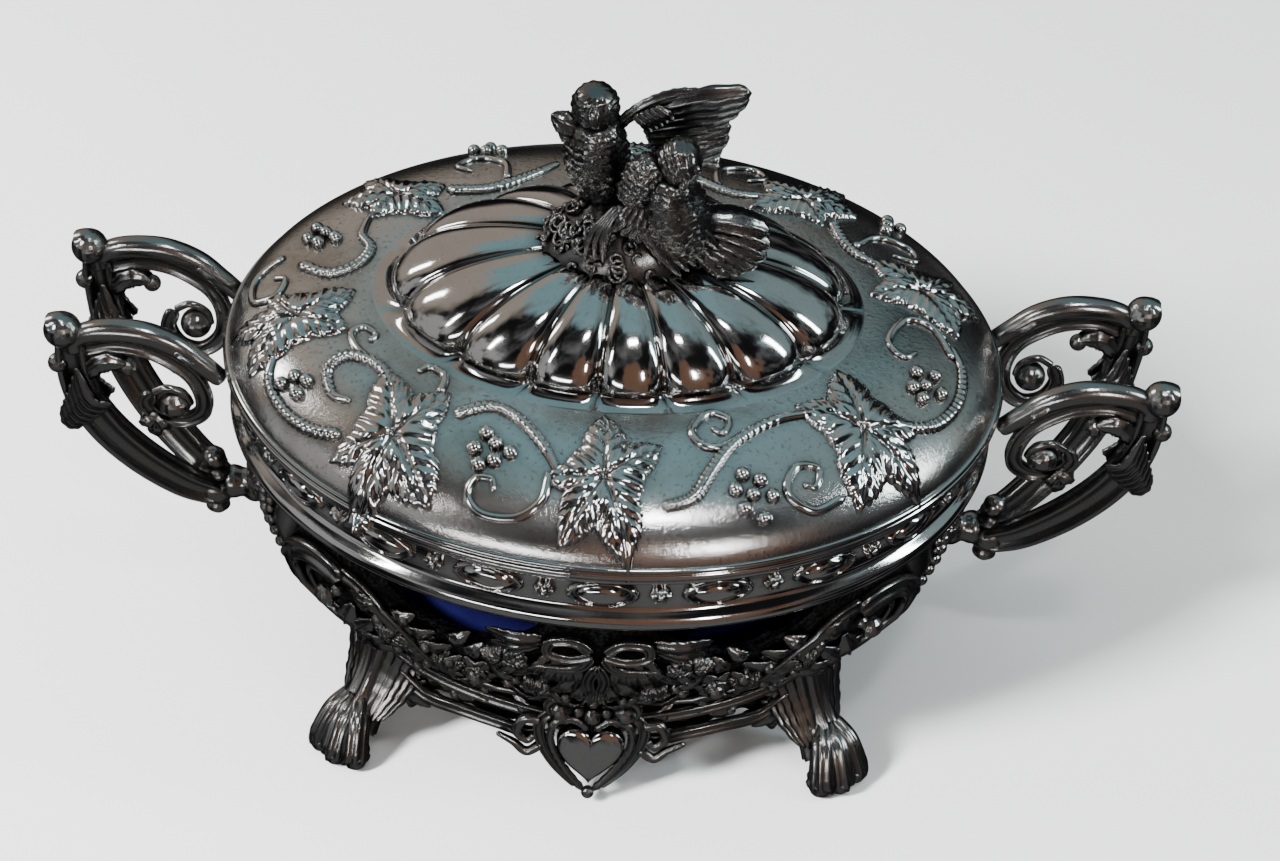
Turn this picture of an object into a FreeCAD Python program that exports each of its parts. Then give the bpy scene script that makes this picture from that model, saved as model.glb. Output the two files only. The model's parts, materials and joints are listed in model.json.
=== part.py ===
"""Oval silver sugar bowl with a lift-off lid and a loose glass liner.

The row frame has +Z up, X along the oval's length, and its origin on the table
under the middle of the bowl. Lengths are in millimetres. Every oval of the bowl is
the joint oval, where the lid meets the collar, made smaller by an inset.
"""
import math
import os
import re

import FreeCAD
import Part
import Sketcher
from FreeCAD import Placement, Rotation, Vector

doc = FreeCAD.newDocument("sugar_bowl")

# ---------------------------------------------------------------- driving dimensions
SIZES = {
    # the joint between lid and collar
    "rim_half_length": 72.0,
    "rim_half_width": 59.0,
    "rim_height": 72.0,
    "sheet_wall": 1.2,
    "slip_gap": 0.4,
    # collar
    "collar_height": 14.0,
    "collar_inset": 2.0,
    "lip_height": 2.0,
    "lip_inset": 0.3,
    "mouth_inset": 6.0,
    "bead_height": 4.0,
    "bead_proud": 1.9,
    "bead_round": 0.9,
    "cabochon_count": 20,
    "cabochon_half_length": 5.6,
    "cabochon_half_height": 2.3,
    "cabochon_rise": 1.6,
    "rosette_radius": 1.7,
    "rosette_rise": 1.1,
    "boss_chamfer": 0.5,
    # pierced basket and what it stands on
    "basket_wall": 1.6,
    "basket_foot_inset": 15.0,
    "basket_low_inset": 10.0,
    "basket_mid_inset": 6.0,
    "basket_belly_inset": 4.0,
    "basket_top_inset": 4.5,
    "basket_base": 25.0,
    "basket_low_level": 0.1515,
    "basket_mid_level": 0.394,
    "basket_belly_level": 0.667,
    "panel_half_length": 46.0,
    "window_depth": 10.0,
    "window_half_length": 15.0,
    "window_place": 24.0,
    "piercing_half_length": 6.0,
    "piercing_half_height": 3.6,
    "piercing_place": 14.0,
    "piercing_level": 0.303,
    "corner_hole_half_length": 5.6,
    "corner_hole_place": 37.0,
    "end_hole_radius": 5.0,
    "end_hole_place": 17.0,
    "end_hole_drop": 12.0,
    "ring_height": 3.0,
    "ring_width": 8.0,
    "tray_thickness": 1.2,
    "tray_gap": 3.5,
    # feet
    "foot_top_end_inset": 33.0,
    "foot_top_side_inset": 31.0,
    "foot_toe_end_inset": 23.0,
    "foot_toe_side_inset": 17.5,
    "foot_top_radius": 8.0,
    "foot_ankle_radius": 5.2,
    "foot_calf_radius": 6.2,
    "foot_toe_radius": 6.4,
    "foot_sole_edge": 0.8,
    # heart cartouche under the middle of each long side
    "heart_width": 14.0,
    "heart_height": 17.0,
    "heart_thickness": 2.6,
    "heart_hang": 1.0,
    "heart_lean": 14.0,
    "heart_setback": 2.0,
    "heart_lug_width": 9.0,
    "heart_lug_depth": 4.0,
    "heart_lug_drop": 3.0,
    # handles
    "arm_spacing": 12.0,
    "arm_radius": 3.0,
    "strut_radius": 2.0,
    "scroll_radius": 1.7,
    "arm_fork_place": 3.1,
    "arm_ball_radius": 3.6,
    "volute_ball_radius": 3.4,
    "knot_radius": 5.0,
    "knot_drop": 41.0,
    "knot_reach": 5.0,
    "bracket_radius": 2.6,
    "bracket_flare": 1.4,
    "bracket_flare_length": 6.0,
    # glass liner
    "liner_wall": 3.0,
    "liner_floor": 4.0,
    "liner_gap": 2.1,
    "liner_below_rim": 3.0,
    # lid
    "bezel_depth": 5.0,
    "bezel_wall": 1.0,
    "lid_wire_height": 2.4,
    "lid_wire_proud": 0.7,
    "lid_wire_bend": 0.8,
    "border_width": 29.5,
    "border_rise": 12.8,
    "dome_rise": 12.4,
    "dome_top_half_length": 13.0,
    "dome_top_half_width": 9.0,
    # finial
    "stud_radius": 2.0,
    "stud_length": 8.0,
    "stud_clearance": 0.15,
    "stud_chamfer": 0.4,
    "washer_radius": 6.0,
    "washer_thickness": 1.0,
    "nut_across_flats": 8.0,
    "nut_height": 3.0,
    "mound_half_length": 15.0,
    "mound_half_width": 10.5,
    "mound_rise": 9.5,
}

sheet = doc.addObject("Spreadsheet::Sheet", "dims")
for row, (alias, value) in enumerate(SIZES.items(), start=1):
    sheet.set(f"A{row}", alias)
    sheet.set(f"B{row}", str(value))
    sheet.setAlias(f"B{row}", alias)
doc.recompute()

NODES = []


def size(alias):
    """The number in the sheet under this alias."""
    return float(getattr(sheet, alias))


def formula(text):
    """An expression in which each alias reads its cell of the sheet."""
    return re.sub(r"[a-z_]+", lambda word: f"dims.{word[0]}" if word[0] in SIZES else word[0], text)


def bind(thing, **formulas):
    """Binds properties of a document object to formulas; Placement parts use __ for a dot."""
    for name, text in formulas.items():
        thing.setExpression(name.replace("__", "."), formula(text))
    return thing


def node(thing, label):
    """Marks an object as a sub-part that is written under this label."""
    thing.Label = label
    NODES.append(thing)
    return thing


# ---------------------------------------------------------------- building blocks
def oval(name, inset, height):
    """An ellipse that lies inside the joint oval by an inset, at a height."""
    shape = doc.addObject("Part::Ellipse", name)
    bind(
        shape,
        MajorRadius=f"rim_half_length - ( {inset} )",
        MinorRadius=f"rim_half_width - ( {inset} )",
        Placement__Base__z=height,
    )
    return shape


def loft(name, sections, ruled=False):
    """A closed solid through the given sections, lowest first."""
    solid = doc.addObject("Part::Loft", name)
    solid.Sections = sections
    solid.Solid = True
    solid.Ruled = ruled
    return solid


def oval_solid(name, profile, ruled=False):
    """A solid through ovals, each given as its inset and its height."""
    ovals = [oval(f"{name}_{i}", inset, height) for i, (inset, height) in enumerate(profile)]
    return loft(name, ovals, ruled)


def cut(name, base, tool):
    shape = doc.addObject("Part::Cut", name)
    shape.Base = base
    shape.Tool = tool
    return shape


def fuse(name, shapes):
    shape = doc.addObject("Part::MultiFuse", name)
    shape.Shapes = shapes
    return shape


def common(name, shapes):
    shape = doc.addObject("Part::MultiCommon", name)
    shape.Shapes = shapes
    return shape


def oval_ring(name, outer_inset, inner_inset, low, high):
    """An upright ring between two ovals and two heights."""
    outer = oval_solid(f"{name}_outer", [(outer_inset, low), (outer_inset, high)], ruled=True)
    inner = oval_solid(f"{name}_inner", [(inner_inset, low), (inner_inset, high)], ruled=True)
    return cut(name, outer, inner)


def mirrored(source, label, normal):
    """The same piece on the other side of the bowl, across the plane with this normal."""
    shape = doc.addObject("Part::Mirroring", f"{label}_mirror")
    shape.Source = source
    shape.Normal = normal
    return node(shape, label)


def tube(name, points, radius):
    """A round bar along a smooth curve through the given points."""
    curve = Part.BSplineCurve()
    curve.interpolate([Vector(*point) for point in points])
    spine = doc.addObject("Part::Feature", f"{name}_line")
    spine.Shape = curve.toShape()
    section = doc.addObject("Part::Circle", f"{name}_section")
    bind(section, Radius=radius)
    start = curve.tangent(curve.FirstParameter)[0]
    section.Placement = Placement(Vector(*points[0]), Rotation(Vector(0, 0, 1), start))
    bar = doc.addObject("Part::Sweep", name)
    bar.Sections = [section]
    bar.Spine = (spine, ["Edge1"])
    bar.Solid = True
    bar.Frenet = False
    return bar


def ball(name, radius, centre):
    shape = doc.addObject("Part::Sphere", name)
    bind(shape, Radius=radius)
    shape.Placement.Base = Vector(*centre)
    return shape


def ellipsoid(name, half_sizes, centre, rotation=Rotation()):
    """An ellipsoid with half sizes along X, Y and Z before it is turned."""
    shape = doc.addObject("Part::Ellipsoid", name)
    shape.Radius2, shape.Radius3, shape.Radius1 = half_sizes
    shape.Placement = Placement(Vector(*centre), rotation)
    return shape


ACROSS_X = Vector(1, 0, 0)
ACROSS_Y = Vector(0, 1, 0)
JOINT = "rim_height"
COLLAR_FOOT = "rim_height - collar_height"


# ---------------------------------------------------------------- collar
def make_collar():
    """The upright band, its flat lip that carries the lid, and the bead under it."""
    lip_foot = "rim_height - lip_height"
    band = oval_ring("band", "collar_inset", "collar_inset + sheet_wall", COLLAR_FOOT, lip_foot)
    node(band, "collar_band")
    node(oval_ring("lip", "lip_inset", "mouth_inset", lip_foot, JOINT), "collar_lip")
    bead = oval_ring(
        "bead",
        "collar_inset - bead_proud",
        "collar_inset",
        COLLAR_FOOT,
        "rim_height - collar_height + bead_height",
    )
    node(rounded(bead, "collar_bead_round", "bead_round"), "collar_bead")


def rounded(base, name, radius):
    """Fillets the two outermost edges of an upright ring with the radius under this alias."""
    doc.recompute()
    radius = size(radius)
    reach = base.Shape.BoundBox.XMax - 1e-3
    edges = [
        (i, radius, radius)
        for i, edge in enumerate(base.Shape.Edges, start=1)
        if edge.BoundBox.XMax > reach and edge.BoundBox.ZLength < 1e-3
    ]
    fillet = doc.addObject("Part::Fillet", name)
    fillet.Base = base
    fillet.Edges = edges
    return fillet


def oval_stations(count, inset, offset=0.0):
    """Points evenly spaced along an oval, each with the angle of its outward normal."""
    half_length = size("rim_half_length") - inset
    half_width = size("rim_half_width") - inset
    steps = 3600
    lengths = [0.0]
    for i in range(steps):
        angle = 2 * math.pi * (i + 0.5) / steps
        speed = math.hypot(half_length * math.sin(angle), half_width * math.cos(angle))
        lengths.append(lengths[-1] + speed * 2 * math.pi / steps)
    stations = []
    for k in range(count):
        wanted = lengths[-1] * (((k + offset) / count + 0.75) % 1.0)
        i = next(j for j, length in enumerate(lengths) if length >= wanted)
        angle = 2 * math.pi * i / steps
        point = Vector(half_length * math.cos(angle), half_width * math.sin(angle), 0)
        normal = math.atan2(half_length * math.sin(angle), half_width * math.cos(angle))
        stations.append((point, math.degrees(normal)))
    return stations


def oval_boss(half_length, half_height, depth):
    """A chamfered oval stud that points along X, from the origin."""
    longer, shorter = max(half_length, half_height), min(half_length, half_height)
    outline = Part.Ellipse(Vector(0, 0, 0), longer, shorter).toShape()
    outline.rotate(Vector(0, 0, 0), Vector(1, 1, 1), 120)
    stud = Part.Face(Part.Wire([outline])).extrude(Vector(depth, 0, 0))
    outer = [edge for edge in stud.Edges if edge.BoundBox.XMin > depth - 1e-3]
    return stud.makeChamfer(size("boss_chamfer"), outer)


def make_collar_ornament():
    """Oval bosses and small round ones in turn, on the outside of the band."""
    count = int(size("cabochon_count"))
    level = size("rim_height") - size("lip_height") - size("collar_height") / 2 + size("bead_height") / 2
    inset = size("collar_inset")
    root = size("sheet_wall")
    core = oval_solid("band_core", [("collar_inset", COLLAR_FOOT), ("collar_inset", JOINT)], ruled=True)
    doc.recompute()
    bosses = {
        "collar_cabochons": (size("cabochon_half_length"), size("cabochon_half_height"),
                             size("cabochon_rise"), 0.0),
        "collar_rosettes": (size("rosette_radius"), size("rosette_radius"),
                            size("rosette_rise"), 0.5),
    }
    for label, (half_length, half_height, rise, offset) in bosses.items():
        solids = []
        for point, angle in oval_stations(count, inset, offset):
            boss = oval_boss(half_length, half_height, rise + root)
            turn = Rotation(Vector(0, 0, 1), angle)
            foot = Vector(point.x, point.y, level) - turn.multVec(Vector(root, 0, 0))
            boss.Placement = Placement(foot, turn)
            solids.append(boss.cut(core.Shape).Solids[0])
        group = doc.addObject("Part::Feature", label)
        group.Shape = Part.makeCompound(solids)
        node(group, label)


# ---------------------------------------------------------------- basket
def basket_height(level):
    """A height in the basket, from a level that is 0 at its base and 1 at the collar's foot."""
    return f"basket_base + ( {COLLAR_FOOT} - basket_base ) * {level}"


BASKET = [
    ("basket_foot_inset", "basket_base"),
    ("basket_low_inset", basket_height("basket_low_level")),
    ("basket_mid_inset", basket_height("basket_mid_level")),
    ("basket_belly_inset", basket_height("basket_belly_level")),
    ("basket_top_inset", COLLAR_FOOT),
]


def block(name, low, high):
    """A box between two corners given as numbers."""
    shape = doc.addObject("Part::Box", name)
    shape.Length, shape.Width, shape.Height = (b - a for a, b in zip(low, high))
    shape.Placement.Base = Vector(*low)
    return shape


def across_prism(name, half_length, half_height, place, height):
    """An oval bar along Y that pierces the front panel at a place along the bowl."""
    outline = doc.addObject("Part::Ellipse", f"{name}_outline")
    bind(outline, MajorRadius=half_length, MinorRadius=half_height,
         Placement__Base__x=place, Placement__Base__z=height)
    outline.Placement.Rotation = Rotation(Vector(1, 0, 0), 90)
    bar = doc.addObject("Part::Extrusion", name)
    bar.Base = outline
    bar.DirMode = "Custom"
    bar.Dir = Vector(0, -1, 0)
    bar.Solid = True
    bind(bar, LengthFwd="rim_half_width * 2")
    return bar


def make_basket():
    """The bellied shell, pierced and parted into two long panels and two end panels."""
    outer = oval_solid("belly", BASKET)
    inner = oval_solid("belly_inside", [(f"{inset} + basket_wall", z) for inset, z in BASKET])
    shell = cut("belly_shell", outer, inner)
    reach = 2 * size("rim_half_length")
    seam = size("panel_half_length")
    top = size("rim_height")
    front_space = block("front_space", (-seam, -reach, 0), (seam, 0, top))
    end_space = block("end_space", (seam, -reach, 0), (reach, reach, top))
    tools = []
    for side, sign in (("left", "-"), ("right", "")):
        tools.append(across_prism(f"window_{side}", "window_half_length", "window_depth",
                                  f"{sign}window_place", COLLAR_FOOT))
        tools.append(across_prism(f"piercing_{side}", "piercing_half_length", "piercing_half_height",
                                  f"{sign}piercing_place", basket_height("piercing_level")))
        tools.append(across_prism(f"corner_{side}", "corner_hole_half_length", "piercing_half_height",
                                  f"{sign}corner_hole_place", basket_height("basket_mid_level")))
    front = cut("front_pierced", common("front_panel", [shell, front_space]), fuse("front_holes", tools))
    node(front, "basket_front")
    mirrored(front, "basket_back", ACROSS_Y)
    end = cut("end_pierced", common("end_panel", [shell, end_space]), end_piercings())
    node(end, "basket_right_end")
    mirrored(end, "basket_left_end", ACROSS_X)


def end_piercings():
    """Two oval holes through an end panel, one each side of the handle's foot."""
    bars = []
    for side in (-1, 1):
        bar = doc.addObject("Part::Cylinder", f"end_hole_{side + 1}")
        bind(bar, Radius="end_hole_radius", Height="rim_half_length * 2",
             Placement__Base__y=f"{side} * end_hole_place",
             Placement__Base__z=f"{COLLAR_FOOT} - end_hole_drop")
        bar.Placement.Rotation = Rotation(Vector(0, 1, 0), 90)
        bars.append(bar)
    return fuse("end_holes", bars)


def make_base():
    """The ring that the basket and feet are soldered to, and the tray for the liner."""
    ring = oval_ring("ring", "basket_foot_inset", "basket_foot_inset + ring_width",
                     "basket_base - ring_height", "basket_base")
    node(ring, "foot_ring")
    tray_inset = "basket_foot_inset + tray_gap"
    tray = oval_solid("tray", [(tray_inset, "basket_base"),
                               (tray_inset, "basket_base + tray_thickness")], ruled=True)
    node(tray, "base_tray")


FOOT_FLATNESS = 0.8
FOOT_SPLAY = 50


def foot_section(name, radius, share, height):
    """A level slice of the foot, part of the way from its top to its toe."""
    along = f"foot_top_end_inset + ( foot_toe_end_inset - foot_top_end_inset ) * {share}"
    across = f"foot_top_side_inset + ( foot_toe_side_inset - foot_top_side_inset ) * {share}"
    slice_ = doc.addObject("Part::Ellipse", name)
    bind(
        slice_,
        MajorRadius=radius,
        MinorRadius=f"( {radius} ) * {FOOT_FLATNESS}",
        Placement__Base__x=f"rim_half_length - ( {along} )",
        Placement__Base__y=f"( {across} ) - rim_half_width",
        Placement__Base__z=height,
    )
    slice_.Placement.Rotation = Rotation(Vector(0, 0, 1), -FOOT_SPLAY)
    return slice_


def make_feet():
    """Four splayed cast feet under the ring, one at each quarter of the oval."""
    top = "( basket_base - ring_height )"
    sections = [
        foot_section("toe_sole", "foot_toe_radius - foot_sole_edge", 1.0, "0"),
        foot_section("toe", "foot_toe_radius", 1.0, f"{top} * 0.14"),
        foot_section("ankle", "foot_ankle_radius", 0.62, f"{top} * 0.45"),
        foot_section("calf", "foot_calf_radius", 0.25, f"{top} * 0.75"),
        foot_section("knee", "foot_top_radius", 0.0, top),
    ]
    right = node(loft("foot", sections), "foot_front_right")
    mirrored(right, "foot_front_left", ACROSS_X)
    back = mirrored(right, "foot_back_right", ACROSS_Y)
    mirrored(back, "foot_back_left", ACROSS_X)


# ---------------------------------------------------------------- heart cartouches
def make_hearts():
    """A heart-shaped plate that hangs under the middle of each long side."""
    body = doc.addObject("PartDesign::Body", "heart_body")
    plane = next(f for f in body.Origin.OriginFeatures if f.Role == "XZ_Plane")
    sketch = body.newObject("Sketcher::SketchObject", "heart_sketch")
    sketch.AttachmentSupport = [(plane, "")]
    sketch.MapMode = "FlatFace"
    half = size("heart_width") / 2
    drop = size("heart_height")
    lobe = half / 2
    corners = [Vector(0, -drop, 0), Vector(half, -lobe, 0), Vector(0, -lobe, 0), Vector(-half, -lobe, 0)]
    right_side = sketch.addGeometry(Part.LineSegment(corners[0], corners[1]))
    crown = Vector(lobe, 0, 0)
    right_lobe = sketch.addGeometry(Part.Arc(corners[1], crown, corners[2]))
    crown = Vector(-lobe, 0, 0)
    left_lobe = sketch.addGeometry(Part.Arc(corners[2], crown, corners[3]))
    left_side = sketch.addGeometry(Part.LineSegment(corners[3], corners[0]))
    constrain_heart(sketch, right_side, right_lobe, left_lobe, left_side)
    pad = body.newObject("PartDesign::Pad", "heart_pad")
    pad.Profile = sketch
    bind(pad, Length="heart_thickness")
    doc.recompute()
    bind(body, Placement__Base__y="-( rim_half_width - basket_foot_inset + heart_setback )",
         Placement__Base__z="basket_base - ring_height - heart_hang")
    body.Placement.Rotation = Rotation(Vector(1, 0, 0), -size("heart_lean"))
    lug = doc.addObject("Part::Box", "heart_lug")
    bind(lug, Length="heart_lug_width", Width="heart_lug_depth", Height="ring_height + heart_lug_drop",
         Placement__Base__x="-heart_lug_width / 2",
         Placement__Base__y="-( rim_half_width - basket_foot_inset + heart_lug_depth - 1 )",
         Placement__Base__z="basket_base - ring_height - heart_lug_drop")
    core = oval_solid("ring_core", [("basket_foot_inset", "basket_base - ring_height * 2"),
                                    ("basket_foot_inset", "basket_base + ring_height")], ruled=True)
    heart = cut("heart", fuse("heart_and_lug", [body, lug]), core)
    node(heart, "heart_cartouche_front")
    mirrored(heart, "heart_cartouche_back", ACROSS_Y)


def constrain_heart(sketch, right_side, right_lobe, left_lobe, left_side):
    """Ties the heart's outline together and binds its width and height to the sheet."""
    start, end, origin = 1, 2, -1
    joints = [
        (right_side, end, right_lobe, sketch_end(sketch, right_lobe, 1)),
        (right_lobe, sketch_end(sketch, right_lobe, -1), left_lobe, sketch_end(sketch, left_lobe, 1)),
        (left_lobe, sketch_end(sketch, left_lobe, -1), left_side, start),
        (left_side, end, right_side, start),
    ]
    for joint in joints:
        sketch.addConstraint(Sketcher.Constraint("Coincident", *joint))
    sketch.addConstraint(Sketcher.Constraint("PointOnObject", right_side, start, -2))
    sketch.addConstraint(Sketcher.Constraint("PointOnObject", right_lobe,
                                             sketch_end(sketch, right_lobe, -1), -2))
    sketch.addConstraint(Sketcher.Constraint("Equal", right_lobe, left_lobe))
    drop = sketch.addConstraint(Sketcher.Constraint("DistanceY", right_side, start, origin, start,
                                                    size("heart_height")))
    sketch.setExpression(f"Constraints[{drop}]", formula("heart_height"))
    far_left = sketch_end(sketch, left_lobe, -1)
    width = sketch.addConstraint(Sketcher.Constraint("DistanceX", left_lobe, far_left, right_side, end,
                                                     size("heart_width")))
    sketch.setExpression(f"Constraints[{width}]", formula("heart_width"))


def sketch_end(sketch, index, side):
    """The constraint number of an arc's end that is further along X, or less far for side -1."""
    arc = sketch.Geometry[index]
    first_is_further = arc.StartPoint.x > arc.EndPoint.x
    return 1 if first_is_further == (side > 0) else 2


# ---------------------------------------------------------------- handles
# Points of an arm: how far out from the knot, and how far up.
UPRIGHT_FROM = 34
BALL_PLACE = (22.2, 47.6)
EYE_PLACE = (4.0, 31.4)
STEM = [(1, 0.6), (5.5, 4.2), (11.5, 11.5), (16.5, 20), (19.6, 28.5), (21, 36), (21.4, 44)]
STRUT = [(21, 45.5), (14, 48), (8, 47.9), (2.5, 45.6), (-1.5, 42), (-6, 37.5)]
SCROLL = [(20, 43.5), (14, 45.3), (8, 44.6), (3.2, 42), (-0.4, 38), (-1.6, 33), (-0.6, 28.4),
          (2.8, 25.8), (6.6, 26.8), (8.2, 30)]


def arm_line(profile, spread):
    """Points of one handle arm: how far out from the knot and up, with the arm's place across."""
    out = size("rim_half_length") + size("knot_reach")
    up = size("rim_height") - size("knot_drop")
    return [(out + x, -spread(x, z), up + z) for x, z in profile]


def make_handles():
    """Each handle forks from a knot into two scrolled arms that curl back to the collar."""
    spacing = size("arm_spacing")
    fork = size("arm_fork_place")

    def leaning(x, z):
        return fork + (spacing - fork) * min(1.0, (z / UPRIGHT_FROM) ** 0.8)

    def upright(x, z):
        return spacing

    stem = tube("arm_stem", arm_line(STEM, leaning), "arm_radius")
    strut = tube("arm_strut", arm_line(STRUT, upright), "strut_radius")
    scroll = tube("arm_scroll", arm_line(SCROLL, upright), "scroll_radius")
    tip = ball("arm_ball", "arm_ball_radius", arm_line([BALL_PLACE], upright)[0])
    eye = ball("arm_eye", "volute_ball_radius", arm_line([EYE_PLACE], upright)[0])
    core = oval_solid("collar_core", [("lip_inset", COLLAR_FOOT), ("lip_inset", JOINT)], ruled=True)
    arm = cut("arm", fuse("arm_pieces", [stem, strut, scroll, tip, eye]), core)
    front_right = node(arm, "handle_right_front_arm")
    mirrored(front_right, "handle_left_front_arm", ACROSS_X)
    back_right = mirrored(front_right, "handle_right_back_arm", ACROSS_Y)
    mirrored(back_right, "handle_left_back_arm", ACROSS_X)
    knot = node(make_knot(), "handle_right_knot")
    mirrored(knot, "handle_left_knot", ACROSS_X)


def make_knot():
    """A turned knot on a short bracket, from the basket's end out to the fork of the arms."""
    body = doc.addObject("PartDesign::Body", "knot_body")
    plane = next(f for f in body.Origin.OriginFeatures if f.Role == "XZ_Plane")
    sketch = body.newObject("Sketcher::SketchObject", "knot_sketch")
    sketch.AttachmentSupport = [(plane, "")]
    sketch.MapMode = "FlatFace"
    inner = size("knot_reach") + size("basket_foot_inset")
    bracket = size("bracket_radius")
    radius = size("knot_radius")
    flare = size("bracket_flare")
    outline = [(-inner, 0), (-inner, bracket + flare), (-inner + size("bracket_flare_length"), bracket),
               (-radius, bracket), (-0.8 * radius, 0.8 * radius), (0, radius),
               (0.6 * radius, 0.72 * radius), (0.8 * radius, 0.32 * radius), (0.8 * radius, 0)]
    points = [Vector(x, z, 0) for x, z in outline]
    for a, b in zip(points, points[1:] + points[:1]):
        sketch.addGeometry(Part.LineSegment(a, b))
    turned = body.newObject("PartDesign::Revolution", "knot_turned")
    turned.Profile = sketch
    turned.ReferenceAxis = (sketch, ["H_Axis"])
    turned.Angle = 360
    doc.recompute()
    bind(body, Placement__Base__x="rim_half_length + knot_reach", Placement__Base__z="rim_height - knot_drop")
    core = oval_solid("knot_core", BASKET)
    return cut("knot", body, core)


# ---------------------------------------------------------------- glass liner
# The liner's brim clears the lid's bezel by the liner gap.
BRIM_INSET = "mouth_inset + slip_gap + bezel_wall + liner_gap"
# Points of the glass: inset beyond its brim, and height over its sole.
LINER = [(12.5, 0), (8, 0.9), (4.7, 3.4), (2.6, 7.5), (1.3, 14), (0.6, 22)]


def make_liner():
    """The loose oval glass that holds the sugar, standing on the tray."""
    sole = "basket_base + tray_thickness"
    top = "rim_height - liner_below_rim"
    outer = [(f"{BRIM_INSET} + {inset}", f"{sole} + {rise}") for inset, rise in LINER]
    inner = [(f"{BRIM_INSET} + liner_wall + {inset}", f"{sole} + liner_floor + {rise} * 0.9")
             for inset, rise in LINER]
    outer.append((BRIM_INSET, top))
    inner.append((f"{BRIM_INSET} + liner_wall", f"{top} + 1"))
    node(cut("liner", oval_solid("liner_outer", outer, ruled=True),
             oval_solid("liner_inner", inner, ruled=True)), "glass_liner")


# ---------------------------------------------------------------- lid
# Points of the lid's border: inset, share of its rise, and how much of the wall comes off the height.
BORDER = [("lip_inset", 0, 0), ("1.2", 0.28, 0.6), ("5", 0.58, 0.8), ("12", 0.85, 1),
          ("border_width * 0.72", 0.96, 1), ("border_width", 1, 1)]
# Rings of the dome: how far they are from its foot towards its crown, along and up.
DOME = [(0.0, -0.15), (0.06, 0.28), (0.2, 0.58), (0.45, 0.84), (1.0, 1.0)]


def lid_solid(name, skin):
    """The lid's full form, or its hollow when skin names the wall taken off it."""
    border = [(f"{inset} + {skin}", f"rim_height + border_rise * {rise} - ( {skin} ) * {share}")
              for inset, rise, share in BORDER]
    rings = []
    for i, (share, rise) in enumerate(DOME):
        ring = doc.addObject("Part::Ellipse", f"{name}_dome_{i}")
        long_start = "( rim_half_length - border_width )"
        wide_start = "( rim_half_width - border_width )"
        bind(
            ring,
            MajorRadius=f"{long_start} + ( dome_top_half_length - {long_start} ) * {share} - ( {skin} )",
            MinorRadius=f"{wide_start} + ( dome_top_half_width - {wide_start} ) * {share} - ( {skin} )",
            Placement__Base__z=f"rim_height + border_rise + dome_rise * {rise} - ( {skin} )",
        )
        rings.append(ring)
    return fuse(name, [oval_solid(f"{name}_border", border), loft(f"{name}_dome", rings)])


def make_lid():
    """The raised shell, the wire round its edge and the bezel that drops into the collar."""
    full = lid_solid("lid_full", "0")
    hollow = lid_solid("lid_hollow", "sheet_wall")
    hole = doc.addObject("Part::Cylinder", "stud_hole")
    bind(hole, Radius="stud_radius + stud_clearance", Height="dome_rise * 2",
         Placement__Base__z="rim_height + border_rise")
    shell = cut("lid_drilled", cut("lid_raised", full, hollow), hole)
    node(shell, "lid_shell")
    wire_top = "rim_height + lid_wire_height"
    wire = oval_ring("lid_wire", "lip_inset - lid_wire_proud", "mouth_inset", JOINT, wire_top)
    wire = cut("lid_wire_fitted", rounded(wire, "lid_wire_round", "lid_wire_bend"), full)
    node(wire, "lid_rim_wire")
    outer, inner = "mouth_inset + slip_gap", "mouth_inset + slip_gap + bezel_wall"
    skirt = oval_ring("bezel_skirt", outer, inner, "rim_height - bezel_depth", JOINT)
    upper = oval_ring("bezel_upper", outer, inner, JOINT, "rim_height + border_rise")
    upper = common("bezel_upper_fitted", [upper, hollow])
    node(fuse("bezel", [skirt, upper]), "lid_bezel")
    return full


# ---------------------------------------------------------------- finial
def turned_body(name, outline):
    """A PartDesign body turned about Z from an outline of radius and height."""
    body = doc.addObject("PartDesign::Body", name)
    plane = next(f for f in body.Origin.OriginFeatures if f.Role == "XZ_Plane")
    sketch = body.newObject("Sketcher::SketchObject", f"{name}_sketch")
    sketch.AttachmentSupport = [(plane, "")]
    sketch.MapMode = "FlatFace"
    points = [Vector(r, z, 0) for r, z in outline]
    for a, b in zip(points, points[1:] + points[:1]):
        sketch.addGeometry(Part.LineSegment(a, b))
    turned = body.newObject("PartDesign::Revolution", f"{name}_turned")
    turned.Profile = sketch
    turned.ReferenceAxis = (sketch, ["V_Axis"])
    turned.Angle = 360
    return body


def make_fixing():
    """The stud, washer and nut that hold the finial on from inside the lid."""
    under = "rim_height + border_rise + dome_rise - sheet_wall"
    stud = size("stud_radius")
    bore = stud + size("stud_clearance")
    length = size("stud_length")
    washer_thickness = size("washer_thickness")
    chamfer = size("stud_chamfer")
    body = turned_body("stud", [(0, -length), (stud - chamfer, -length), (stud, -length + chamfer),
                                (stud, size("sheet_wall")), (0, size("sheet_wall"))])
    bind(body, Placement__Base__z=under)
    node(body, "finial_stud")
    washer = turned_body("washer", [(bore, -washer_thickness), (size("washer_radius"), -washer_thickness),
                                    (size("washer_radius"), 0), (bore, 0)])
    bind(washer, Placement__Base__z=under)
    node(washer, "finial_washer")
    nut = doc.addObject("Part::Prism", "nut_blank")
    nut.Polygon = 6
    bind(nut, Circumradius="nut_across_flats / 1.732", Height="nut_height",
         Placement__Base__z=f"{under} - washer_thickness - nut_height")
    bore_tool = doc.addObject("Part::Cylinder", "nut_bore")
    bind(bore_tool, Radius="stud_radius + stud_clearance", Height="nut_height * 3",
         Placement__Base__z=f"{under} - washer_thickness - nut_height * 2")
    node(cut("nut", nut, bore_tool), "finial_nut")


# Rings of the mound: share of its size, and share of its rise; the first is sunk in the lid.
MOUND = [(1.0, -0.6), (0.97, 0.25), (0.72, 0.65), (0.5, 1.0)]
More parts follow.
